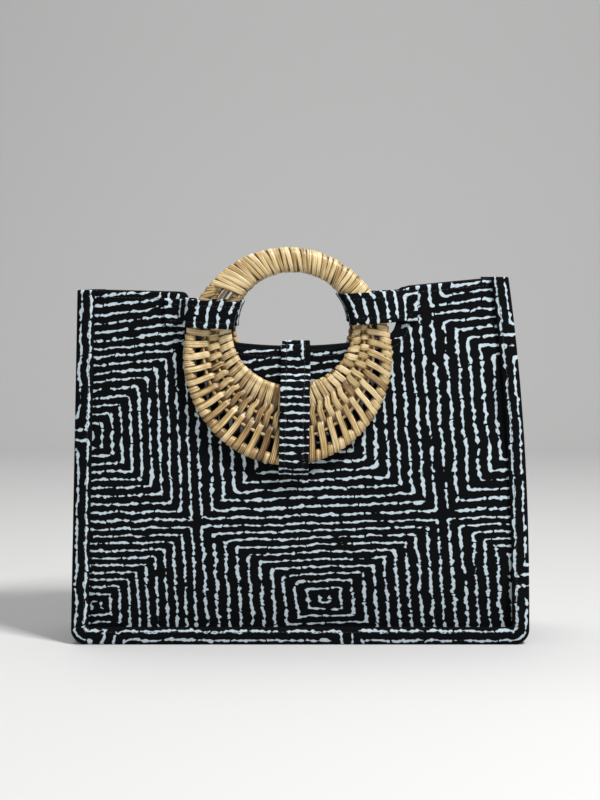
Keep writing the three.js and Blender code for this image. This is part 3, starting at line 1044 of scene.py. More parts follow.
@dataclass
class ClothBorder:
    """The band that makes the sides and the base and comes round on to both faces as a soft, raised ridge.

    Args:
        form: the bag's form.
        finishes: the bag's finishes.
        edge_radius: the radius of the band's corners between a face and a side.
        inner_corner: the radius of the inner corners at the foot, seen from the front.
        sag: how far the sides sink in between the faces, with a slight wave.
        ridge: how far the band's part on a face rises in its middle.
        pressed: how far it is pressed in at its seam.
        sag_from: the height over which the sag grows from nothing at the foot.
        tile_edge_x: where a tile's edge falls on the base.
        foot_row: a row of the outline that lies on the base.
    """

    form: BagForm
    finishes: Finishes
    edge_radius: float = 0.004
    inner_corner: float = 0.002
    sag: float = 0.0035
    wave: float = 0.0006
    ridge: float = 0.0011
    pressed: float = 0.0003
    sag_from: float = 0.06
    tile_edge_x: float = -0.164
    foot_row: int = 150

    def stations(self) -> tuple[np.ndarray, np.ndarray, np.ndarray]:
        """The outline from the left top down, along the base and up to the right top.

        Returns:
            The points on the outer face, those where the border ends on the panel, and the distances along
            the first.
        """
        f = self.form
        inner_foot = f.border + self.inner_corner
        turn = np.linspace(0, np.pi / 2, 14)[1:, None]
        outs, ins = [], []
        for hand, height in ((Hand.LEFT, f.height_left), (Hand.RIGHT, f.height_right)):
            z = np.linspace(height - f.wall / 2, f.corner, 80)
            z = np.concatenate([height - turned_edge(f.wall)[:-1], z])
            side, foot = f.side_x(hand, z), float(f.side_x(hand, f.corner))
            away = np.concatenate([hand * np.cos(turn), -np.sin(turn)], axis=1)
            out_bend = np.array([foot - hand * f.corner, f.corner]) + f.corner * away
            inn_bend = np.array([foot - hand * inner_foot, inner_foot]) + self.inner_corner * away
            inner = np.stack([side - hand * f.border, np.maximum(z, inner_foot)], axis=-1)
            outs.append(np.concatenate([np.stack([side, z], axis=-1), out_bend]))
            ins.append(np.concatenate([inner, inn_bend]))
        t = np.linspace(0, 1, 150)[1:-1, None]
        out, inn = (np.concatenate([left, left[-1] * (1 - t) + right[-1] * t, right[::-1]])
                    for left, right in (outs, ins))
        return out, inn, run_length(out)

    def on_face(self) -> tuple[np.ndarray, np.ndarray]:
        """Half the band's section: in from the front edge over the low ridge and round the corner.

        Returns:
            The distances in from the side's outer face, and those back from the bag's face.
        """
        f = self.form
        half = f.wall / 2
        flat = np.linspace(f.border - half, self.edge_radius, 12)
        inward = np.concatenate([f.border - turned_edge(f.wall)[:-1], flat])
        share = np.clip((f.border - inward) / (f.border - self.edge_radius), 0, 1)
        back = half - self.ridge * np.sin(np.pi * share) ** 0.8 + self.pressed * (1 - share) ** 6
        turn = np.linspace(0, np.pi / 2, 9)[1:]
        r = self.edge_radius - half
        return (np.concatenate([inward, self.edge_radius - r * np.sin(turn)]),
                np.concatenate([back, self.edge_radius - r * np.cos(turn)]))

    def middle_surface(self) -> tuple[np.ndarray, np.ndarray, np.ndarray]:
        """Carries the band's section along the outline: over the front ridge, across a side with a slight sag
        and waves, and out to the back edge the same way as in front.

        Returns:
            The middle surface as a grid, the outline's outer points and the distances along it.
        """
        f = self.form
        out, inn, along = self.stations()
        inward, back = self.on_face()
        slope = (inn - out) / f.border
        front_x, front_z = (out[:, None, k] + slope[:, None, k] * inward[None, :] for k in (0, 1))
        front = np.stack([front_x, -(f.half_depth(front_z) - back), front_z], axis=-1)
        middle = np.linspace(-1, 1, 41)[None, 1:-1]
        edge_y = front[:, -1:, 1] * middle
        on_side = np.clip((out[:, 1:] - f.corner) / self.sag_from, 0, 1)
        wave = self.wave * np.sin(24 * out[:, 1:] + 40 * edge_y) * on_side
        at = f.wall / 2 + (self.sag * (1 - middle**2) + wave) * on_side
        across = np.stack([out[:, :1] + slope[:, :1] * at, -edge_y, out[:, 1:] + slope[:, 1:] * at], axis=-1)
        mid = np.concatenate([front, across, front[:, ::-1] * np.array([1, -1, 1])], axis=1)
        mid[..., 2] = np.maximum(mid[..., 2], f.wall / 2)
        return mid, out, along

    def build(self) -> bpy.types.Object:
        """Makes the band and sews a seam along its edge on each face.

        Returns:
            The band.
        """
        f = self.form
        mid, out, along = self.middle_surface()
        gauge = run_length(mid[self.foot_row])
        edges = np.minimum(along, along[-1] - along), np.minimum(gauge, gauge[-1] - gauge)
        tile_edge = along[self.foot_row] + self.tile_edge_x - out[self.foot_row, 0]
        uv = grid_of(along[:, None] - tile_edge, gauge[None, :])
        shell = cloth_shell(mid[::-1], f.wall, (edges[0][::-1], edges[1]), uv[::-1], inside=1)
        piece = shell.as_object("border_cloth", [self.finishes.print_cloth, self.finishes.plain_cloth])
        settle(piece, "printed_cotton", "border")
        seams = []
        for sign in (1, -1):
            line = mid[4:-4, 7] * np.array([1, sign, 1]) + np.array([0, -sign * f.wall / 2, 0])
            seams.append(stitches(line, np.tile([0.0, -sign, 0.0], (len(line), 1))))
        seam = Surface.joined(seams).as_object("border_stitches", [self.finishes.thread])
        settle(seam, "printed_cotton")
        return piece


# Ring handle

@dataclass(frozen=True)
class Course:
    """The course of turns or of a cane along the ring, by the ring's width w at each ray: its middle lies
    share * w + offset in from the outer edge, and half its own width is spread * w + across.

    Args:
        share: see above.
        offset: see above.
        across: see above.
        deep: half its depth.
        spread: see above.
    """

    share: float
    offset: float
    across: float
    deep: float
    spread: float = 0.0

    def middle(self, width: np.ndarray) -> np.ndarray:
        """Distances of its middle in from the outer edge."""
        return self.share * width + self.offset

    def half(self, width: np.ndarray) -> np.ndarray:
        """Half its own width."""
        return self.spread * width + self.across

    def core(self, thinner: float = 0.0009) -> "Course":
        """The course of the cane under the turns, thinner all round."""
        return replace(self, across=self.across - thinner, deep=self.deep - thinner)
@dataclass
class RingHandle:
    """A ring handle of cane: a bound grip above, and a crescent of strips woven between two rims below.

    A ray at an angle goes out from the middle of the hand hole. Places on it are the distance in from the
    ring's outer edge and the distance from its middle plane, where minus is towards the one who looks at it.

    Args:
        form: the bag's form.
        finishes: the bag's finishes.
        face: which face it is on.
        outer_half: half the width and half the height of the outer edge's ellipse.
        hole_half: the same of the hand hole's.
        hole_above_scoop: the hole's middle over the scoop's lowest point.
        outer_aside: from the hole's middle to the outer ellipse's.
        grip_depth: the grip's depth from front to back.
        outer_rim: half the outer rim's thickness.
        inner_rim: half the inner rim's.
        strip: a strip's scale across its flat side.
        cane: half a crossing cane's thickness.
        cane_reach: how far strips swing to either side of the crossing canes.
        cane_starts: each crossing cane's distance in from the outer edge where the ring is cane_width wide.
        cane_shares: what share of any more width it moves in by.
        grip_angles: where the grip starts and ends, in degrees.
        weave_angles: where the weaving does.
        pitch: from one woven strip to the next at the outer edge.
        turn_pitch: the same for the turns of the grip and of the bare rims.
        shifts: how far a strip shifts aside between the canes, where it starts behind, and where it ends
            behind, as shares of the pitch.
        shade: the woven strips' least tint, and how much more they may have.
        brown: how much browner they are at the lower left, and the angle and reach of that, in degrees.
        dark: how much darker some strips are, and what share of them.
        behind: how much painted shade darkens them where they run behind, and the depth at which it is full.
    """

    form: BagForm
    finishes: Finishes
    face: Face
    outer_half: tuple[float, float] = (0.0875, 0.0915)
    hole_half: tuple[float, float] = (0.051, 0.0475)
    hole_above_scoop: float = 0.018
    outer_aside: tuple[float, float] = (-0.0038, -0.023)
    grip_depth: float = 0.014
    outer_rim: float = 0.00475
    inner_rim: float = 0.00375
    strip: float = 0.0008
    cane: float = 0.0013
    cane_reach: float = 0.0022
    cane_width: float = 0.040
    cane_starts: tuple[float, float] = (0.0168, 0.0262)
    cane_shares: tuple[float, float] = (0.22, 0.44)
    grip_angles: tuple[float, float] = (21.0, 149.0)
    weave_angles: tuple[float, float] = (164.0, 374.0)
    pitch: float = 0.0057
    turn_pitch: tuple[float, float] = (0.0050, 0.0056)
    shifts: tuple[float, float, float] = (0.36, 0.96, 0.5)
    shade: tuple[float, float] = (0.04, 0.26)
    brown: tuple[float, float, float] = (0.36, 248, 40)
    dark: tuple[float, float] = (0.28, 0.18)
    behind: tuple[float, float] = (0.55, 0.004)
    rng: np.random.Generator = field(init=False)
    hole: np.ndarray = field(init=False)
    outer: np.ndarray = field(init=False)
    lean: float = field(init=False)
    rest: float = field(init=False)

    def __post_init__(self) -> None:
        """Seeds the strips' small differences, and works out the plane that lies against the panel, as the
        solids' does: its lean, and the ring's distance from the bag's middle at the scoop's lowest point."""
        f = self.form
        self.rng = np.random.default_rng(7 if self.face is Face.FRONT else 11)
        self.hole = np.array([f.scoop_centre, f.scoop_z + self.hole_above_scoop])
        self.outer = self.hole + np.array(self.outer_aside)
        bottom = self.outer[1] - self.outer_half[1]
        rise = f.scoop_z - bottom
        self.lean = float(f.face_depth(self.hole[0], f.scoop_z) - f.face_depth(self.hole[0], bottom)) / rise
        x = self.outer[0] + np.arange(-1, 1.01, 0.25)[:, None] * self.outer_half[0]
        z = bottom + np.arange(0, 1.01, 0.125)[None, :] * rise
        self.rest = float(np.max(f.face_depth(x, z) - self.lean * (z - f.scoop_z))) + f.gap + self.outer_rim

    def depth_at(self, z: float) -> float:
        """Distance of the ring's middle plane from the bag's middle, at a height."""
        return self.rest + self.lean * (z - self.form.scoop_z)

    def edge_x(self, hand: Hand, centre: np.ndarray, half: tuple[float, float], z: np.ndarray) -> np.ndarray:
        """Where the outer edge or the hole is at heights: an ellipse read across.

        Args:
            hand: which side.
            centre: the ellipse's middle.
            half: half its width and half its height.
            z: the heights.

        Returns:
            The places across.
        """
        upward = (z - centre[1]) / half[1]
        return centre[0] + hand * half[0] * np.sqrt(np.maximum(0.0, 1 - upward**2))

    def radii(self, angle: np.ndarray) -> tuple[np.ndarray, np.ndarray]:
        """Distances of the outer edge and of the hole's edge from the hole's middle, along rays.

        Args:
            angle: the rays' angles.

        Returns:
            The outer and the inner radius, each from its ellipse.
        """
        way = np.stack([np.cos(angle), np.sin(angle)], axis=-1)
        inner = 1 / np.linalg.norm(way / np.array(self.hole_half), axis=-1)
        outer_half = np.array(self.outer_half)
        scaled, offset = way / outer_half, np.array(self.outer_aside) / outer_half
        a = (scaled**2).sum(-1)
        b = -2 * (scaled * offset).sum(-1)
        c = (offset**2).sum() - 1
        return (-b + np.sqrt(b * b - 4 * a * c)) / (2 * a), inner

    def at(self, angle: np.ndarray, inward: np.ndarray, y: np.ndarray) -> np.ndarray:
        """Places in the ring's own upright frame.

        Args:
            angle: the rays' angles.
            inward: distances in from the outer edge.
            y: distances from the middle plane.

        Returns:
            The points.
        """
        radius = self.radii(angle)[0] - inward
        x, z = self.hole[0] + radius * np.cos(angle), self.hole[1] + radius * np.sin(angle)
        return np.stack([x, y, z], axis=-1)

    def hung(self, surface: Surface) -> Surface:
        """Leans a surface from the ring's upright frame to where it hangs, and puts it on its face.

        Args:
            surface: the surface.

        Returns:
            The surface in its place.
        """
        scoop_z = self.form.scoop_z
        turn = math.atan(self.lean)
        x, y, z = surface.points.T
        z = z - scoop_z
        y, z = y * math.cos(turn) - z * math.sin(turn), y * math.sin(turn) + z * math.cos(turn)
        surface.points = np.stack([x, y - self.rest, z + scoop_z], axis=-1)
        return surface.on(self.face)

    def strips(self, angle: np.ndarray, inward: np.ndarray, y: np.ndarray, half_width: np.ndarray,
               tint: np.ndarray, closed: bool, roll: np.ndarray | float = 0.0) -> Surface:
        """Lays flat strips along paths on the ring, their flat side outwards.

        Args:
            angle: each path's angles, as (strip, step).
            inward: its distances in from the outer edge.
            y: its distances from the middle plane.
            half_width: half the strip's width at each step.
            tint: each strip's shade.
            closed: whether it goes all the way round.
            roll: how far each strip is rolled about its own length.

        Returns:
            The strips.
        """
        centre = self.at(angle, inward, y)
        if closed:
            ahead = np.roll(centre, -1, axis=1) - np.roll(centre, 1, axis=1)
        else:
            ahead = np.gradient(centre, axis=1)
        round_way = np.stack([-np.sin(angle), 0 * angle, np.cos(angle)], axis=-1)
        ahead = unit(ahead)
        side = unit(round_way - ahead * (round_way * ahead).sum(-1, keepdims=True))
        up = unit(np.cross(side, ahead))
        tilt = np.broadcast_to(np.asarray(roll), (len(angle),))[:, None, None]
        side, up = side * np.cos(tilt) + up * np.sin(tilt), up * np.cos(tilt) - side * np.sin(tilt)
        return swept(centre, side, up, STRIP, half_width, self.strip, closed, tint, STRIP_EDGE_PAINTED_SHADE)

    def even_angles(self, start: float, end: float, pitch: float) -> np.ndarray:
        """Evenly spaced places round the ring.

        Args:
            start: where they start, in degrees.
            end: where they end.
            pitch: from one to the next along the outer edge, about.

        Returns:
            The angles.
        """
        fine = np.radians(np.linspace(start, end, 2000))
        along = run_length(self.at(fine, np.zeros_like(fine), np.zeros_like(fine)))
        count = max(2, round(along[-1] / pitch))
        return np.interp((np.arange(count) + 0.5) / count * along[-1], along, fine)

    def turns(self, start: float, end: float, course: Course, squareness: float, lean: float, pitch: float,
              shade: tuple[float, float]) -> Surface:
        """Binds strip round and round a part of the ring, each turn leaning across it.

        Args:
            start: the first angle, in degrees.
            end: the last angle.
            course: the bound part's course.
            squareness: the power of its rounding.
            lean: how far a turn leans, in degrees.
            pitch: from one turn to the next at the outer edge.
            shade: the least and the most tint.

        Returns:
            The turns.
        """
        base = self.even_angles(start, end, pitch)[:, None]
        count = len(base)
        turn = np.linspace(0, 2 * np.pi, 40, endpoint=False)[None, :]
        slant = np.radians(lean + self.rng.normal(0, 0.9, (count, 1)))
        angle = base + slant * np.cos(turn)
        lift = self.rng.uniform(-0.0003, 0.0002, (count, 1))
        width = self.width(angle)
        across = course.half(width) - self.strip * 0.5 + lift
        inward = course.middle(width) - across * softened(np.cos(turn), squareness)
        y = -(course.deep - self.strip * 0.5 + lift) * softened(np.sin(turn), squareness)
        radius = self.radii(angle)[0] - inward
        step = float(np.mean(np.diff(base[:, 0])))
        half_width = 0.5 * step * radius * self.rng.uniform(0.88, 1.04, (count, 1))
        tint = self.rng.uniform(*shade, (count, 1))
        return self.strips(angle, inward, y, half_width, tint, True, self.rng.normal(0, 0.05, count))

    def tube(self, start: float, end: float, course: Course, tint: float, power: float = 1.0,
             sides: int = 12) -> Surface:
        """Bends a cane along the ring.

        Args:
            start: the first angle, in degrees.
            end: the last angle.
            course: its course.
            tint: its shade.
            power: the power of its rounding.
            sides: the points of its profile.

        Returns:
            The cane.
        """
        angle = np.radians(np.linspace(start, end, max(8, int(abs(end - start)))))[None, :]
        width = self.width(angle)
        middle = self.at(angle, course.middle(width), np.zeros_like(angle))
        ahead = unit(np.gradient(middle, axis=1))
        up = np.broadcast_to(np.array([0.0, -1.0, 0.0]), middle.shape)
        side = unit(np.cross(up, ahead))
        profile = round_profile(sides, power)
        return swept(middle, side, up, profile, course.half(width), course.deep, tint=tint)

    def width(self, angle: np.ndarray) -> np.ndarray:
        """The ring's width along rays."""
        outer, inner = self.radii(angle)
        return outer - inner

    def dressed(self, parts: list[Surface], label: str, node: str) -> bpy.types.Object:
        """Joins surfaces of cane into one piece in its place.

        Args:
            parts: the surfaces.
            label: what the piece is called after its face.
            node: the solid that it replaces, after its face.

        Returns:
            The piece.
        """
        name = self.face.value
        piece = self.hung(Surface.joined(parts)).as_object(f"{name}_{label}", [self.finishes.cane])
        return settle(piece, "wicker", f"{name}_ring_{node}")

    def grip(self) -> bpy.types.Object:
        """The bound grip: turns of strip over a dark core, whose tint is painted shade in the gaps between
        the turns.

        Returns:
            The grip.
        """
        start, end = self.grip_angles
        course = Course(share=0.5, offset=0.0, spread=0.5, across=0.0, deep=self.grip_depth / 2)
        # painted shade: the core's dark tint, 0.85, darkens the gaps between the turns
        parts = [self.turns(start, end, course, 0.85, 3.0, self.turn_pitch[0], (0.02, 0.36)),
                 self.tube(start, end - 1, course.core(), 0.85, 0.85, 16)]
        return self.dressed(parts, "grip_binding", "grip")

    def rims(self) -> list[bpy.types.Object]:
        """The crescent's two rims: canes, bound by themselves where the weaving hasn't begun.

        Returns:
            The outer and the inner rim.
        """
        first, last = self.grip_angles[1] - 2, 360 + self.grip_angles[0] + 2
        bare = (first, self.weave_angles[0]), (self.weave_angles[1], last)
        outer_course = Course(share=0.0, offset=self.outer_rim, across=self.outer_rim, deep=self.outer_rim)
        inner_course = Course(share=1.0, offset=-self.inner_rim, across=self.inner_rim, deep=self.inner_rim)
        made = []
        for label, course in (("outer_rim", outer_course), ("inner_rim", inner_course)):
            parts = [self.tube(first, last, course.core(), 0.5)]
            parts += [self.turns(*ends, course, 1.0, 2.0, self.turn_pitch[1], (0.0, 0.4)) for ends in bare]
            made.append(self.dressed(parts, f"{label}_cane", label))
        return made

    def cane_course(self, number: int) -> Course:
        """The course of a crossing cane: a set distance in, and a share of any extra width.

        Args:
            number: 0 for the outer one, 1 for the inner one.

        Returns:
            The course.
        """
        share = self.cane_shares[number]
        offset = self.cane_starts[number] - share * self.cane_width
        return Course(share=share, offset=offset, across=self.cane, deep=self.cane)

    def woven_paths(self, base: np.ndarray, over: np.ndarray) -> tuple[np.ndarray, np.ndarray, np.ndarray]:
        """The strips' ways across the crescent: round the outer rim, over one cane and under the next, and
        round the inner rim from the front or from behind. Between canes the depth follows half a cosine wave,
        and a strip that runs behind shifts aside, in part or wholly behind its neighbour.

        Args:
            base: each strip's angle.
            over: 1 for a strip that passes over the first cane, -1 for one that passes under it.

        Returns:
            The angles, the distances in and the depths, as (strip, step).
        """
        outer_r, inner_r = self.outer_rim - self.strip * 0.6, self.inner_rim - self.strip * 0.6
        width, side = self.width(base)[:, None], over[:, None]
        turn = np.radians(np.linspace(-172, 118, 15))[None, :]
        wrap_in = np.tile(self.outer_rim - outer_r * np.cos(turn), (len(base), 1))
        wrap_y = -outer_r * np.sin(turn) * side
        inner_turn = np.radians(np.linspace(52, 250, 11))[None, :]
        home_in = width - self.inner_rim - inner_r * np.cos(inner_turn)
        home_y = -inner_r * np.sin(inner_turn) * side
        begin, finish = wrap_in[:, -1:], home_in[:, :1]
        run = begin + np.linspace(0, 1, 30)[None, 1:-1] * (finish - begin)
        inward = np.concatenate([wrap_in, run, home_in], axis=1)
        first_cane, second_cane = (self.cane_course(k).middle(width) for k in (0, 1))
        keys = [begin, first_cane, second_cane, finish]
        values = [wrap_y[:, -1:], -self.cane_reach * side, self.cane_reach * side, home_y[:, :1]]
        y = np.zeros_like(run)
        for low, high, before, after in zip(keys[:-1], keys[1:], values[:-1], values[1:]):
            edge = (high - low) / 6
            ease = eased(run, low + edge, high - edge)
            y = np.where((run >= low) & (run <= high), before * (1 - ease) + after * ease, y)
        depth = np.concatenate([wrap_y, y, home_y], axis=1)
        first = eased(inward, self.outer_rim, 1.8 * self.outer_rim)
        first = first * (1 - eased(inward, first_cane - 0.003, first_cane + 0.002))
        first = first * ((depth > 0) & (inward > self.outer_rim))
        second = eased(inward, first_cane + 0.001, second_cane - 0.001)
        second = second * (1 - eased(inward, second_cane, second_cane + 0.009))
        third = eased(inward, second_cane + 0.002, second_cane + 0.008)
        between, starting, ending = self.shifts
        aside = np.where(side > 0, between * second, starting * first + ending * third) * (base[1] - base[0])
        share = np.clip(inward / width, 0, 1)
        bow = np.radians(2.0) * np.sin(np.pi * share)
        sway = self.rng.normal(0, 0.007, (len(base), 1)) * share
        return base[:, None] + aside + bow + sway, inward, depth

    def strip_shades(self, base: np.ndarray, over: np.ndarray, inward: np.ndarray, past: np.ndarray,
                     depth: np.ndarray) -> np.ndarray:
        """Shades the woven strips: each its own tone, browner at the lower left, with painted shade where
        they run behind, and with painted light on those that come in front of the inner rim and painted shade
        on those that go behind it.

        Args:
            base: each strip's angle.
            over: as for woven_paths.
            inward: the paths' distances in.
            past: how far each step is past the second crossing cane, from 0 to 1.
            depth: the paths' depths.

        Returns:
            The tints, as (strip, step).
        """
        count = len(base)
        least, more = self.shade
        darker, often = self.dark
        behind, full_depth = self.behind
        brown = self.brown[0] * bell(np.degrees(base), *self.brown[1:])
        shade = least + more * self.rng.random(count) + brown * (0.4 + 0.6 * self.rng.random(count))
        shade = shade + darker * (self.rng.random(count) < often)
        # painted light on strips that come in front of the inner rim, painted shade on those that go behind
        # it
        shade = shade[:, None] + np.where(over[:, None] > 0, -0.14, 0.05) * past
        # painted shade: past the outer rim, a strip darkens with its depth behind the middle plane
        return shade + behind * np.clip(depth / full_depth, 0, 1) * (inward > self.outer_rim)

    def weave(self) -> bpy.types.Object:
        """The woven crescent: strips from rim to rim and the two canes that they pass over and under.

        Returns:
            The crescent.
        """
        base = self.even_angles(*self.weave_angles, self.pitch)
        over = np.where(np.arange(len(base)) % 2 == 0, 1.0, -1.0)
        angle, inward, depth = self.woven_paths(base, over)
        second_cane = self.cane_course(1).middle(self.width(base))[:, None]
        past = np.clip((inward - second_cane - 0.002) / 0.008, 0, 1)
        taper = np.where(over[:, None] > 0, 1 + 0.05 * past, 1 - 0.3 * past)
        half = 0.5 * self.pitch * 0.94 * taper * self.rng.uniform(0.9, 1.06, (len(base), 1))
        shade = self.strip_shades(base, over, inward, past, depth)
        parts = [self.strips(angle, inward, depth, half, shade, False, self.rng.normal(0, 0.08, len(base)))]
        first, last = self.grip_angles[1] - 4, self.weave_angles[1] + 6
        parts += [self.tube(first, last, self.cane_course(k), 0.3, sides=8) for k in (0, 1)]
        return self.dressed(parts, "woven_crescent", "weave")

    def build(self) -> None:
        """Makes the grip, the rims and the woven crescent."""
        self.grip()
        self.rims()
        self.weave()


# Loops and straps


@dataclass
class StrapCloth:
    """Common ways of the sewn cloth loops and straps: flat, folded double, and stitched near both edges.

    Args:
        form: the bag's form.
        finishes: the bag's finishes.
        ring: the ring handle that they hold.
        wall: the folded cloth's thickness.
        bend: how far from a corner of its path it starts to bend.
        stitch_inset: the stitches' distance from the long edges.
        groove: how far the stitches draw the cloth in, and how wide.
    """

    form: BagForm
    finishes: Finishes
    ring: RingHandle
    wall: float = 0.0022
    bend: float = 0.005
    stitch_inset: float = 0.005
    groove: tuple[float, float] = (0.00035, 0.0011)

    def on_panel(self, x: float, z: float) -> float:
        """Distance of a strap's middle from the bag's middle where it lies on the panel's outer face."""
        return float(self.form.face_depth(x, z)) + 2 * self.form.gap + self.wall / 2

    def in_panel(self, x: float, z: float) -> float:
        """The same where it lies on the panel's inner face."""
        return float(self.form.face_depth(x, z)) - self.form.wall - 2 * self.form.gap - self.wall / 2

    def path(self, corners: np.ndarray, count: int) -> tuple[np.ndarray, np.ndarray]:
        """Rounds a path's corners with parabolas and spaces it evenly.

        Args:
            corners: the corner points in a plane.
            count: how many even steps to give.

        Returns:
            The points and their distances along the path.
        """
        line = [corners[:1]]
        for before, corner, after in zip(corners[:-2], corners[1:-1], corners[2:]):
            ways = before - corner, after - corner
            start, end = (corner + unit(way) * min(self.bend, np.linalg.norm(way) / 2.05) for way in ways)
            line.append(bent(start, corner, end, 12))
        line = np.concatenate([*line, corners[-1:]])
        along = run_length(line)
        at = folded_steps(along[-1], self.wall, count)
        return read_along(at, along, line), at

    def across(self, width: float) -> tuple[np.ndarray, np.ndarray]:
        """Places across a strap.

        Args:
            width: the strap's width.

        Returns:
            The places from -1 to 1, and their distances from its edges.
        """
        at = folded_steps(width, self.wall, 25)
        return at / width * 2 - 1, np.minimum(at, width - at)

    def sewn(self, label: str, mid: np.ndarray, uv: np.ndarray, width: float, from_edge: np.ndarray,
             along: np.ndarray) -> bpy.types.Object:
        """Makes a strap from its middle surface, with stitches along both edges on both of its sides.

        Args:
            label: what the solid that it replaces is called after its face.
            mid: the middle surface, as (along, across, 3).
            uv: places on the print.
            width: the strap's width.
            from_edge: distances from its long edges.
            along: distances along it.

        Returns:
            The strap.
        """
        face = self.ring.face
        node = f"{face.value}_{label}"
        normal = unit(np.cross(np.gradient(mid, axis=0), np.gradient(mid, axis=1)))
        edges = np.minimum(along, along[-1] - along), from_edge
        shell = cloth_shell(mid, self.wall, edges, uv).facing_out()
        depth, reach = self.groove
        grooves = -depth * bell(from_edge, self.stitch_inset, reach)
        shell.points[:mid.shape[0] * mid.shape[1]] += (normal * grooves[None, :, None]).reshape(-1, 3)
        piece = shell.on(face).as_object(f"{node}_cloth", [self.finishes.print_cloth])
        settle(piece, "printed_cotton", node)
        near = int(np.argmin(np.abs(from_edge[:len(from_edge) // 2] - self.stitch_inset)))
        seams = []
        for column in (near, len(from_edge) - 1 - near):
            for sign in (1, -1):
                out = sign * normal[5:-5, column]
                seams.append(stitches(mid[5:-5, column] + out * (self.wall / 2 - 0.0003), out))
        seam = Surface.joined(seams).on(face).as_object(f"{node}_cloth_stitches", [self.finishes.thread])
        settle(seam, "printed_cotton")
        return piece


@dataclass
class ArmLoop(StrapCloth):
    """A loop from the panel's outer face in front of the ring's arm, round it in the hand hole and back.

    Args:
        hand: the side of the ring.
        above_hole: its middle over the hole's middle.
        height: its width, which stands upright.
        sewn_length: how much of it is sewn to the panel.
        tilt: its rise across.
        print_at: the place on the print of the middle of its sewn end.
        clear: how far past the scoop's edge, and past the ring's arm, it leaves the panel.
    """

    hand: Hand = Hand.LEFT
    above_hole: float = 0.0125
    height: float = 0.023
    sewn_length: float = 0.012
    tilt: float = -0.05
    print_at: tuple[float, float] = (0.102, 0.0744)
    clear: tuple[float, float] = (0.003, 0.007)

    def at_hole(self, z: np.ndarray) -> np.ndarray:
        """Where its middle lies across against the ring's arm in the hand hole, at heights."""
        edge = self.ring.edge_x(self.hand, self.ring.hole, self.ring.hole_half, z)
        return edge - self.hand * (self.form.gap + self.wall / 2)

    def round_arm(self, middle: float) -> np.ndarray:
        """The corners of its path, seen from above, in the ring's own frame.

        Args:
            middle: the height of its middle.

        Returns:
            The corners (across, back), from its outer end to its inner one.
        """
        f, ring, hand = self.form, self.ring, self.hand
        heights = np.linspace(middle - self.height / 2, middle + self.height / 2, 5)
        scoop_x = f.scoop_centre + hand * f.scoop_width / 2
        arm = hand * np.max(hand * ring.edge_x(hand, ring.outer, ring.outer_half, heights))
        lift_x = hand * max(hand * scoop_x + self.clear[0], hand * arm + self.clear[1])
        end_x = lift_x + hand * self.sewn_length
        around = ring.grip_depth / 2 + f.gap + self.wall / 2
        spots = [(x, z) for z in heights[[0, -1]] for x in (scoop_x, end_x)]
        outer_y = -max(self.on_panel(x, z) - ring.depth_at(z) for x, z in spots)
        inner_y = -min(self.in_panel(x, z) - ring.depth_at(z) for x, z in spots)
        home = hand * min(hand * arm, hand * scoop_x)
        return np.array([
            [end_x, outer_y],
            [lift_x, outer_y],
            [arm - hand * 0.002, -around],
            [self.at_hole(middle), -around],
            [self.at_hole(middle), around],
            [home - hand * 0.008, max(around, inner_y - 0.001)],
            [scoop_x - hand * 0.001, inner_y],
            [end_x, inner_y],
        ])

    def build(self) -> bpy.types.Object:
        """Makes the loop: its path, stretched at each height so that it meets the ring's curved inner edge.

        Returns:
            The loop.
        """
        ring = self.ring
        middle = ring.hole[1] + self.above_hole
        corners = self.round_arm(middle)
        end_x, turn_x = corners[0, 0], self.at_hole(middle)
        line, along = self.path(corners, 110)
        share, from_edge = self.across(self.height)
        x, y = line[:, :1], line[:, 1:]
        up = share[None, :] * self.height / 2
        z = middle + up + self.tilt * (x - (end_x + turn_x) / 2)
        placed = end_x + (self.at_hole(z) - end_x) * (x - end_x) / (turn_x - end_x)
        mid = np.stack([placed, y - ring.depth_at(z), z], axis=-1)
        uv = grid_of(self.print_at[0] + along[:, None], self.print_at[1] + up)
        return self.sewn(f"{self.hand.name.lower()}_loop", mid, uv, self.height, from_edge, along)


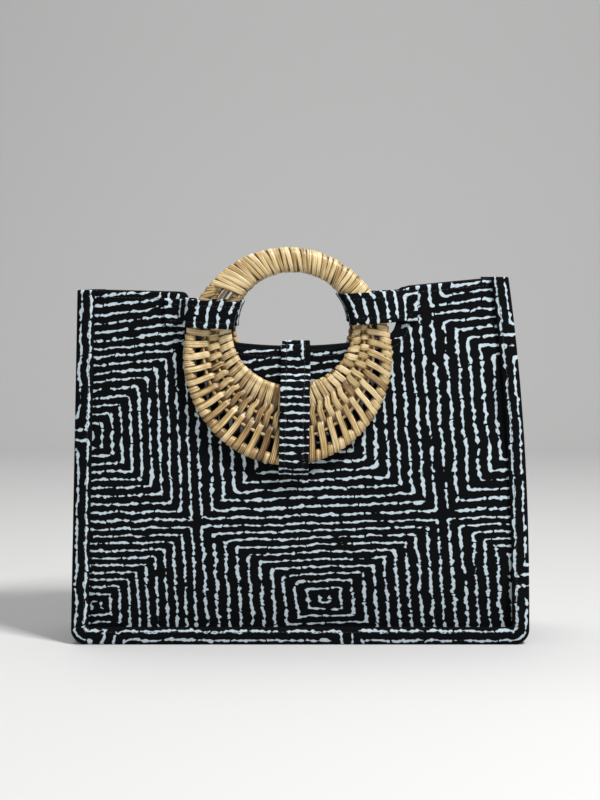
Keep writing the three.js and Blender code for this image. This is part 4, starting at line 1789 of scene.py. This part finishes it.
@dataclass
class CrescentStrap(StrapCloth):
    """A strap from inside the panel over the scoop's edge, down in front of the crescent, and sewn below it.

    Args:
        width: its width.
        aside: its place to the right of the hand hole's middle.
        inside: how far it goes down inside the panel.
        sewn_length: how much of it is sewn below the crescent.
        below: how far below the crescent it comes back to the panel.
        fold_rise: how far its fold stands over the scoop's edge.
        slant: how far it shifts to the left on its way down.
        print_at: the place on the print of its middle at the fold.
        print_share: how fast the print goes along it.
    """

    width: float = 0.025
    aside: float = 0.003
    inside: float = 0.020
    sewn_length: float = 0.010
    below: float = 0.007
    fold_rise: float = 0.002
    slant: float = 0.0018
    print_at: tuple[float, float] = (0.1105, 0.0845)
    print_share: float = 1.08

    def on_ring(self, z: float) -> float:
        """Distance of its middle from the bag's middle where it lies on the ring."""
        return self.ring.depth_at(z) + self.ring.outer_rim + 2 * self.form.gap + self.wall / 2

    def build(self) -> bpy.types.Object:
        """Makes the strap.

        Returns:
            The strap.
        """
        f, ring = self.form, self.ring
        x = ring.hole[0] + self.aside
        top, bottom = ring.hole[1] - ring.hole_half[1], ring.outer[1] - ring.outer_half[1]
        start, below = f.scoop_z - self.inside, bottom - self.below
        end = below - self.sewn_length
        fold = f.scoop_z + 2 * f.gap + self.wall / 2 + self.fold_rise
        corners = np.array([
            [-self.in_panel(x, start), start],
            [-self.in_panel(x, f.scoop_z), fold],
            [-self.on_panel(x, f.scoop_z), fold],
            [-self.on_panel(x, top + 0.009), top + 0.009],
            [-self.on_ring(top), top + 0.001],
            [-self.on_ring(bottom), bottom - 0.001],
            [-self.on_panel(x, below), below],
            [-self.on_panel(x, end), end],
        ])
        line, along = self.path(corners, 150)
        share, from_edge = self.across(self.width)
        depth, z = line[:, :1], line[:, 1:]
        lower = (z - f.scoop_z) / (bottom - f.scoop_z) * np.clip((f.scoop_z - z) / 0.01, 0, 1)
        aside = share[None, :] * self.width / 2
        mid = grid_of(x + aside - self.slant * lower, depth, z)
        past_fold = along - along[np.argmax(line[:, 1])]
        uv = grid_of(self.print_at[0] + aside, self.print_at[1] - self.print_share * past_fold[:, None])
        return self.sewn("crescent_strap", mid, uv, self.width, from_edge, along)


# Setting


@dataclass(frozen=True)
class Studio:
    """A pale floor, soft light and the camera, which looks at the front from a little above.

    Args:
        distance: from the camera to its target.
        elevation: how far it looks down, in degrees.
        frame_width: how wide the picture is at the target.
        target: what it looks at.
        sensor: its sensor's width, in millimetres.
        floor_reach: how far the floor goes to the front and the sides.
        backdrop: where the floor starts to rise behind, the radius of its bend, and the backdrop's height.
        floor_colour: the floor's colour.
        lamps: each lamp's name, place, size and power.
        lit: what the lamps face.
        sky: the colour of the light all round, and its strength.
    """

    distance: float = 1.5
    elevation: float = 4.0
    frame_width: float = 0.504
    target: tuple[float, float, float] = (0.0, -0.055, 0.2083)
    sensor: float = 36.0
    floor_reach: float = 12.0
    backdrop: tuple[float, float, float] = (1.6, 0.8, 6.0)
    floor_colour: tuple[float, ...] = (0.62, 0.62, 0.61, 1)
    lamps: tuple[tuple[str, tuple[float, float, float], float, float], ...] = (
        ("key", (0.9, -0.95, 2.0), 0.5, 60), ("fill", (-1.5, -1.7, 1.2), 1.4, 7),
        ("top", (-0.4, 0.5, 2.1), 1.4, 18))
    lit: tuple[float, float, float] = (0.0, 0.0, 0.16)
    sky: tuple[tuple[float, ...], float] = ((0.8, 0.83, 0.86, 1), 0.22)

    def floor(self) -> None:
        """Lays a plain pale floor that curves up into a backdrop far behind."""
        reach, (back, bend, top) = self.floor_reach, self.backdrop
        turn = np.linspace(0, np.pi, 60)[1:31]
        flat, upright = np.linspace(-reach, back, 30), np.linspace(bend, top, 9)[1:]
        y = np.concatenate([flat, back + bend * np.sin(turn), np.full_like(upright, back + bend)])
        z = np.concatenate([np.zeros_like(flat), bend * (1 - np.cos(turn)), upright])
        x = np.linspace(-reach, reach, 9)
        points = grid_of(x[:, None], y[None, :], z[None, :]).reshape(-1, 3)
        quads = cells(len(x), len(y))
        material = bpy.data.materials.new("pale_floor")
        shader = Nodes(material).shader
        shader.inputs["Base Color"].default_value = self.floor_colour
        shader.inputs["Roughness"].default_value = 0.75
        made = Surface(points, quads, points[:, :2], np.zeros(len(points)), np.zeros(len(quads)))
        made.as_object("floor", [material])

    def lamp(self, name: str, place: tuple[float, float, float], size: float, power: float) -> None:
        """Hangs a square soft light that faces the bag.

        Args:
            name: its name.
            place: where it hangs.
            size: its width.
            power: its power, in watts.
        """
        data = bpy.data.lights.new(name, "AREA")
        data.size, data.energy = size, power
        made = bpy.data.objects.new(name, data)
        bpy.context.scene.collection.objects.link(made)
        made.location = place
        way = unit(np.array(self.lit) - np.array(place))
        made.rotation_euler = (math.acos(-way[2]), 0, math.atan2(way[1], way[0]) - math.pi / 2)

    def camera(self) -> None:
        """Sets up the camera."""
        data = bpy.data.cameras.new("camera")
        data.sensor_fit, data.sensor_width = "HORIZONTAL", self.sensor
        data.lens = self.sensor * self.distance / self.frame_width
        made = bpy.data.objects.new("camera", data)
        bpy.context.scene.collection.objects.link(made)
        lift = math.radians(self.elevation)
        x, y, z = self.target
        made.location = (x, y - self.distance * math.cos(lift), z + self.distance * math.sin(lift))
        made.rotation_euler = (math.pi / 2 - lift, 0, 0)
        bpy.context.scene.camera = made

    def build(self) -> None:
        """Sets the floor, the lights, the world and the camera."""
        self.floor()
        for lamp in self.lamps:
            self.lamp(*lamp)
        world = bpy.data.worlds.new("soft_world")
        bpy.context.scene.world = world
        world.use_nodes = True
        for socket, value in zip(world.node_tree.nodes["Background"].inputs, self.sky):
            socket.default_value = value
        bpy.context.scene.view_settings.view_transform = "Standard"
        self.camera()


def main() -> None:
    """Builds the bag piece by piece, then its setting."""
    logging.basicConfig(level=logging.INFO, format="%(message)s")
    Studio().build()
    form, finishes = BagForm(), Finishes()
    LOG.info("border %s", ClothBorder(form, finishes).build().name)
    for face in Face:
        LOG.info("panel %s", ClothPanel(form, finishes, face).build().name)
        ring = RingHandle(form, finishes, face)
        ring.build()
        LOG.info("ring handle on the %s", face.value)
        left_loop = ArmLoop(form, finishes, ring)
        right_loop = ArmLoop(form, finishes, ring, hand=Hand.RIGHT, above_hole=0.018, height=0.026,
                             sewn_length=0.010, tilt=0.06, print_at=(0.105, 0.083))
        for strap in (left_loop, right_loop, CrescentStrap(form, finishes, ring)):
            LOG.info("strap %s", strap.build().name)


if __name__ == "__main__":
    main()
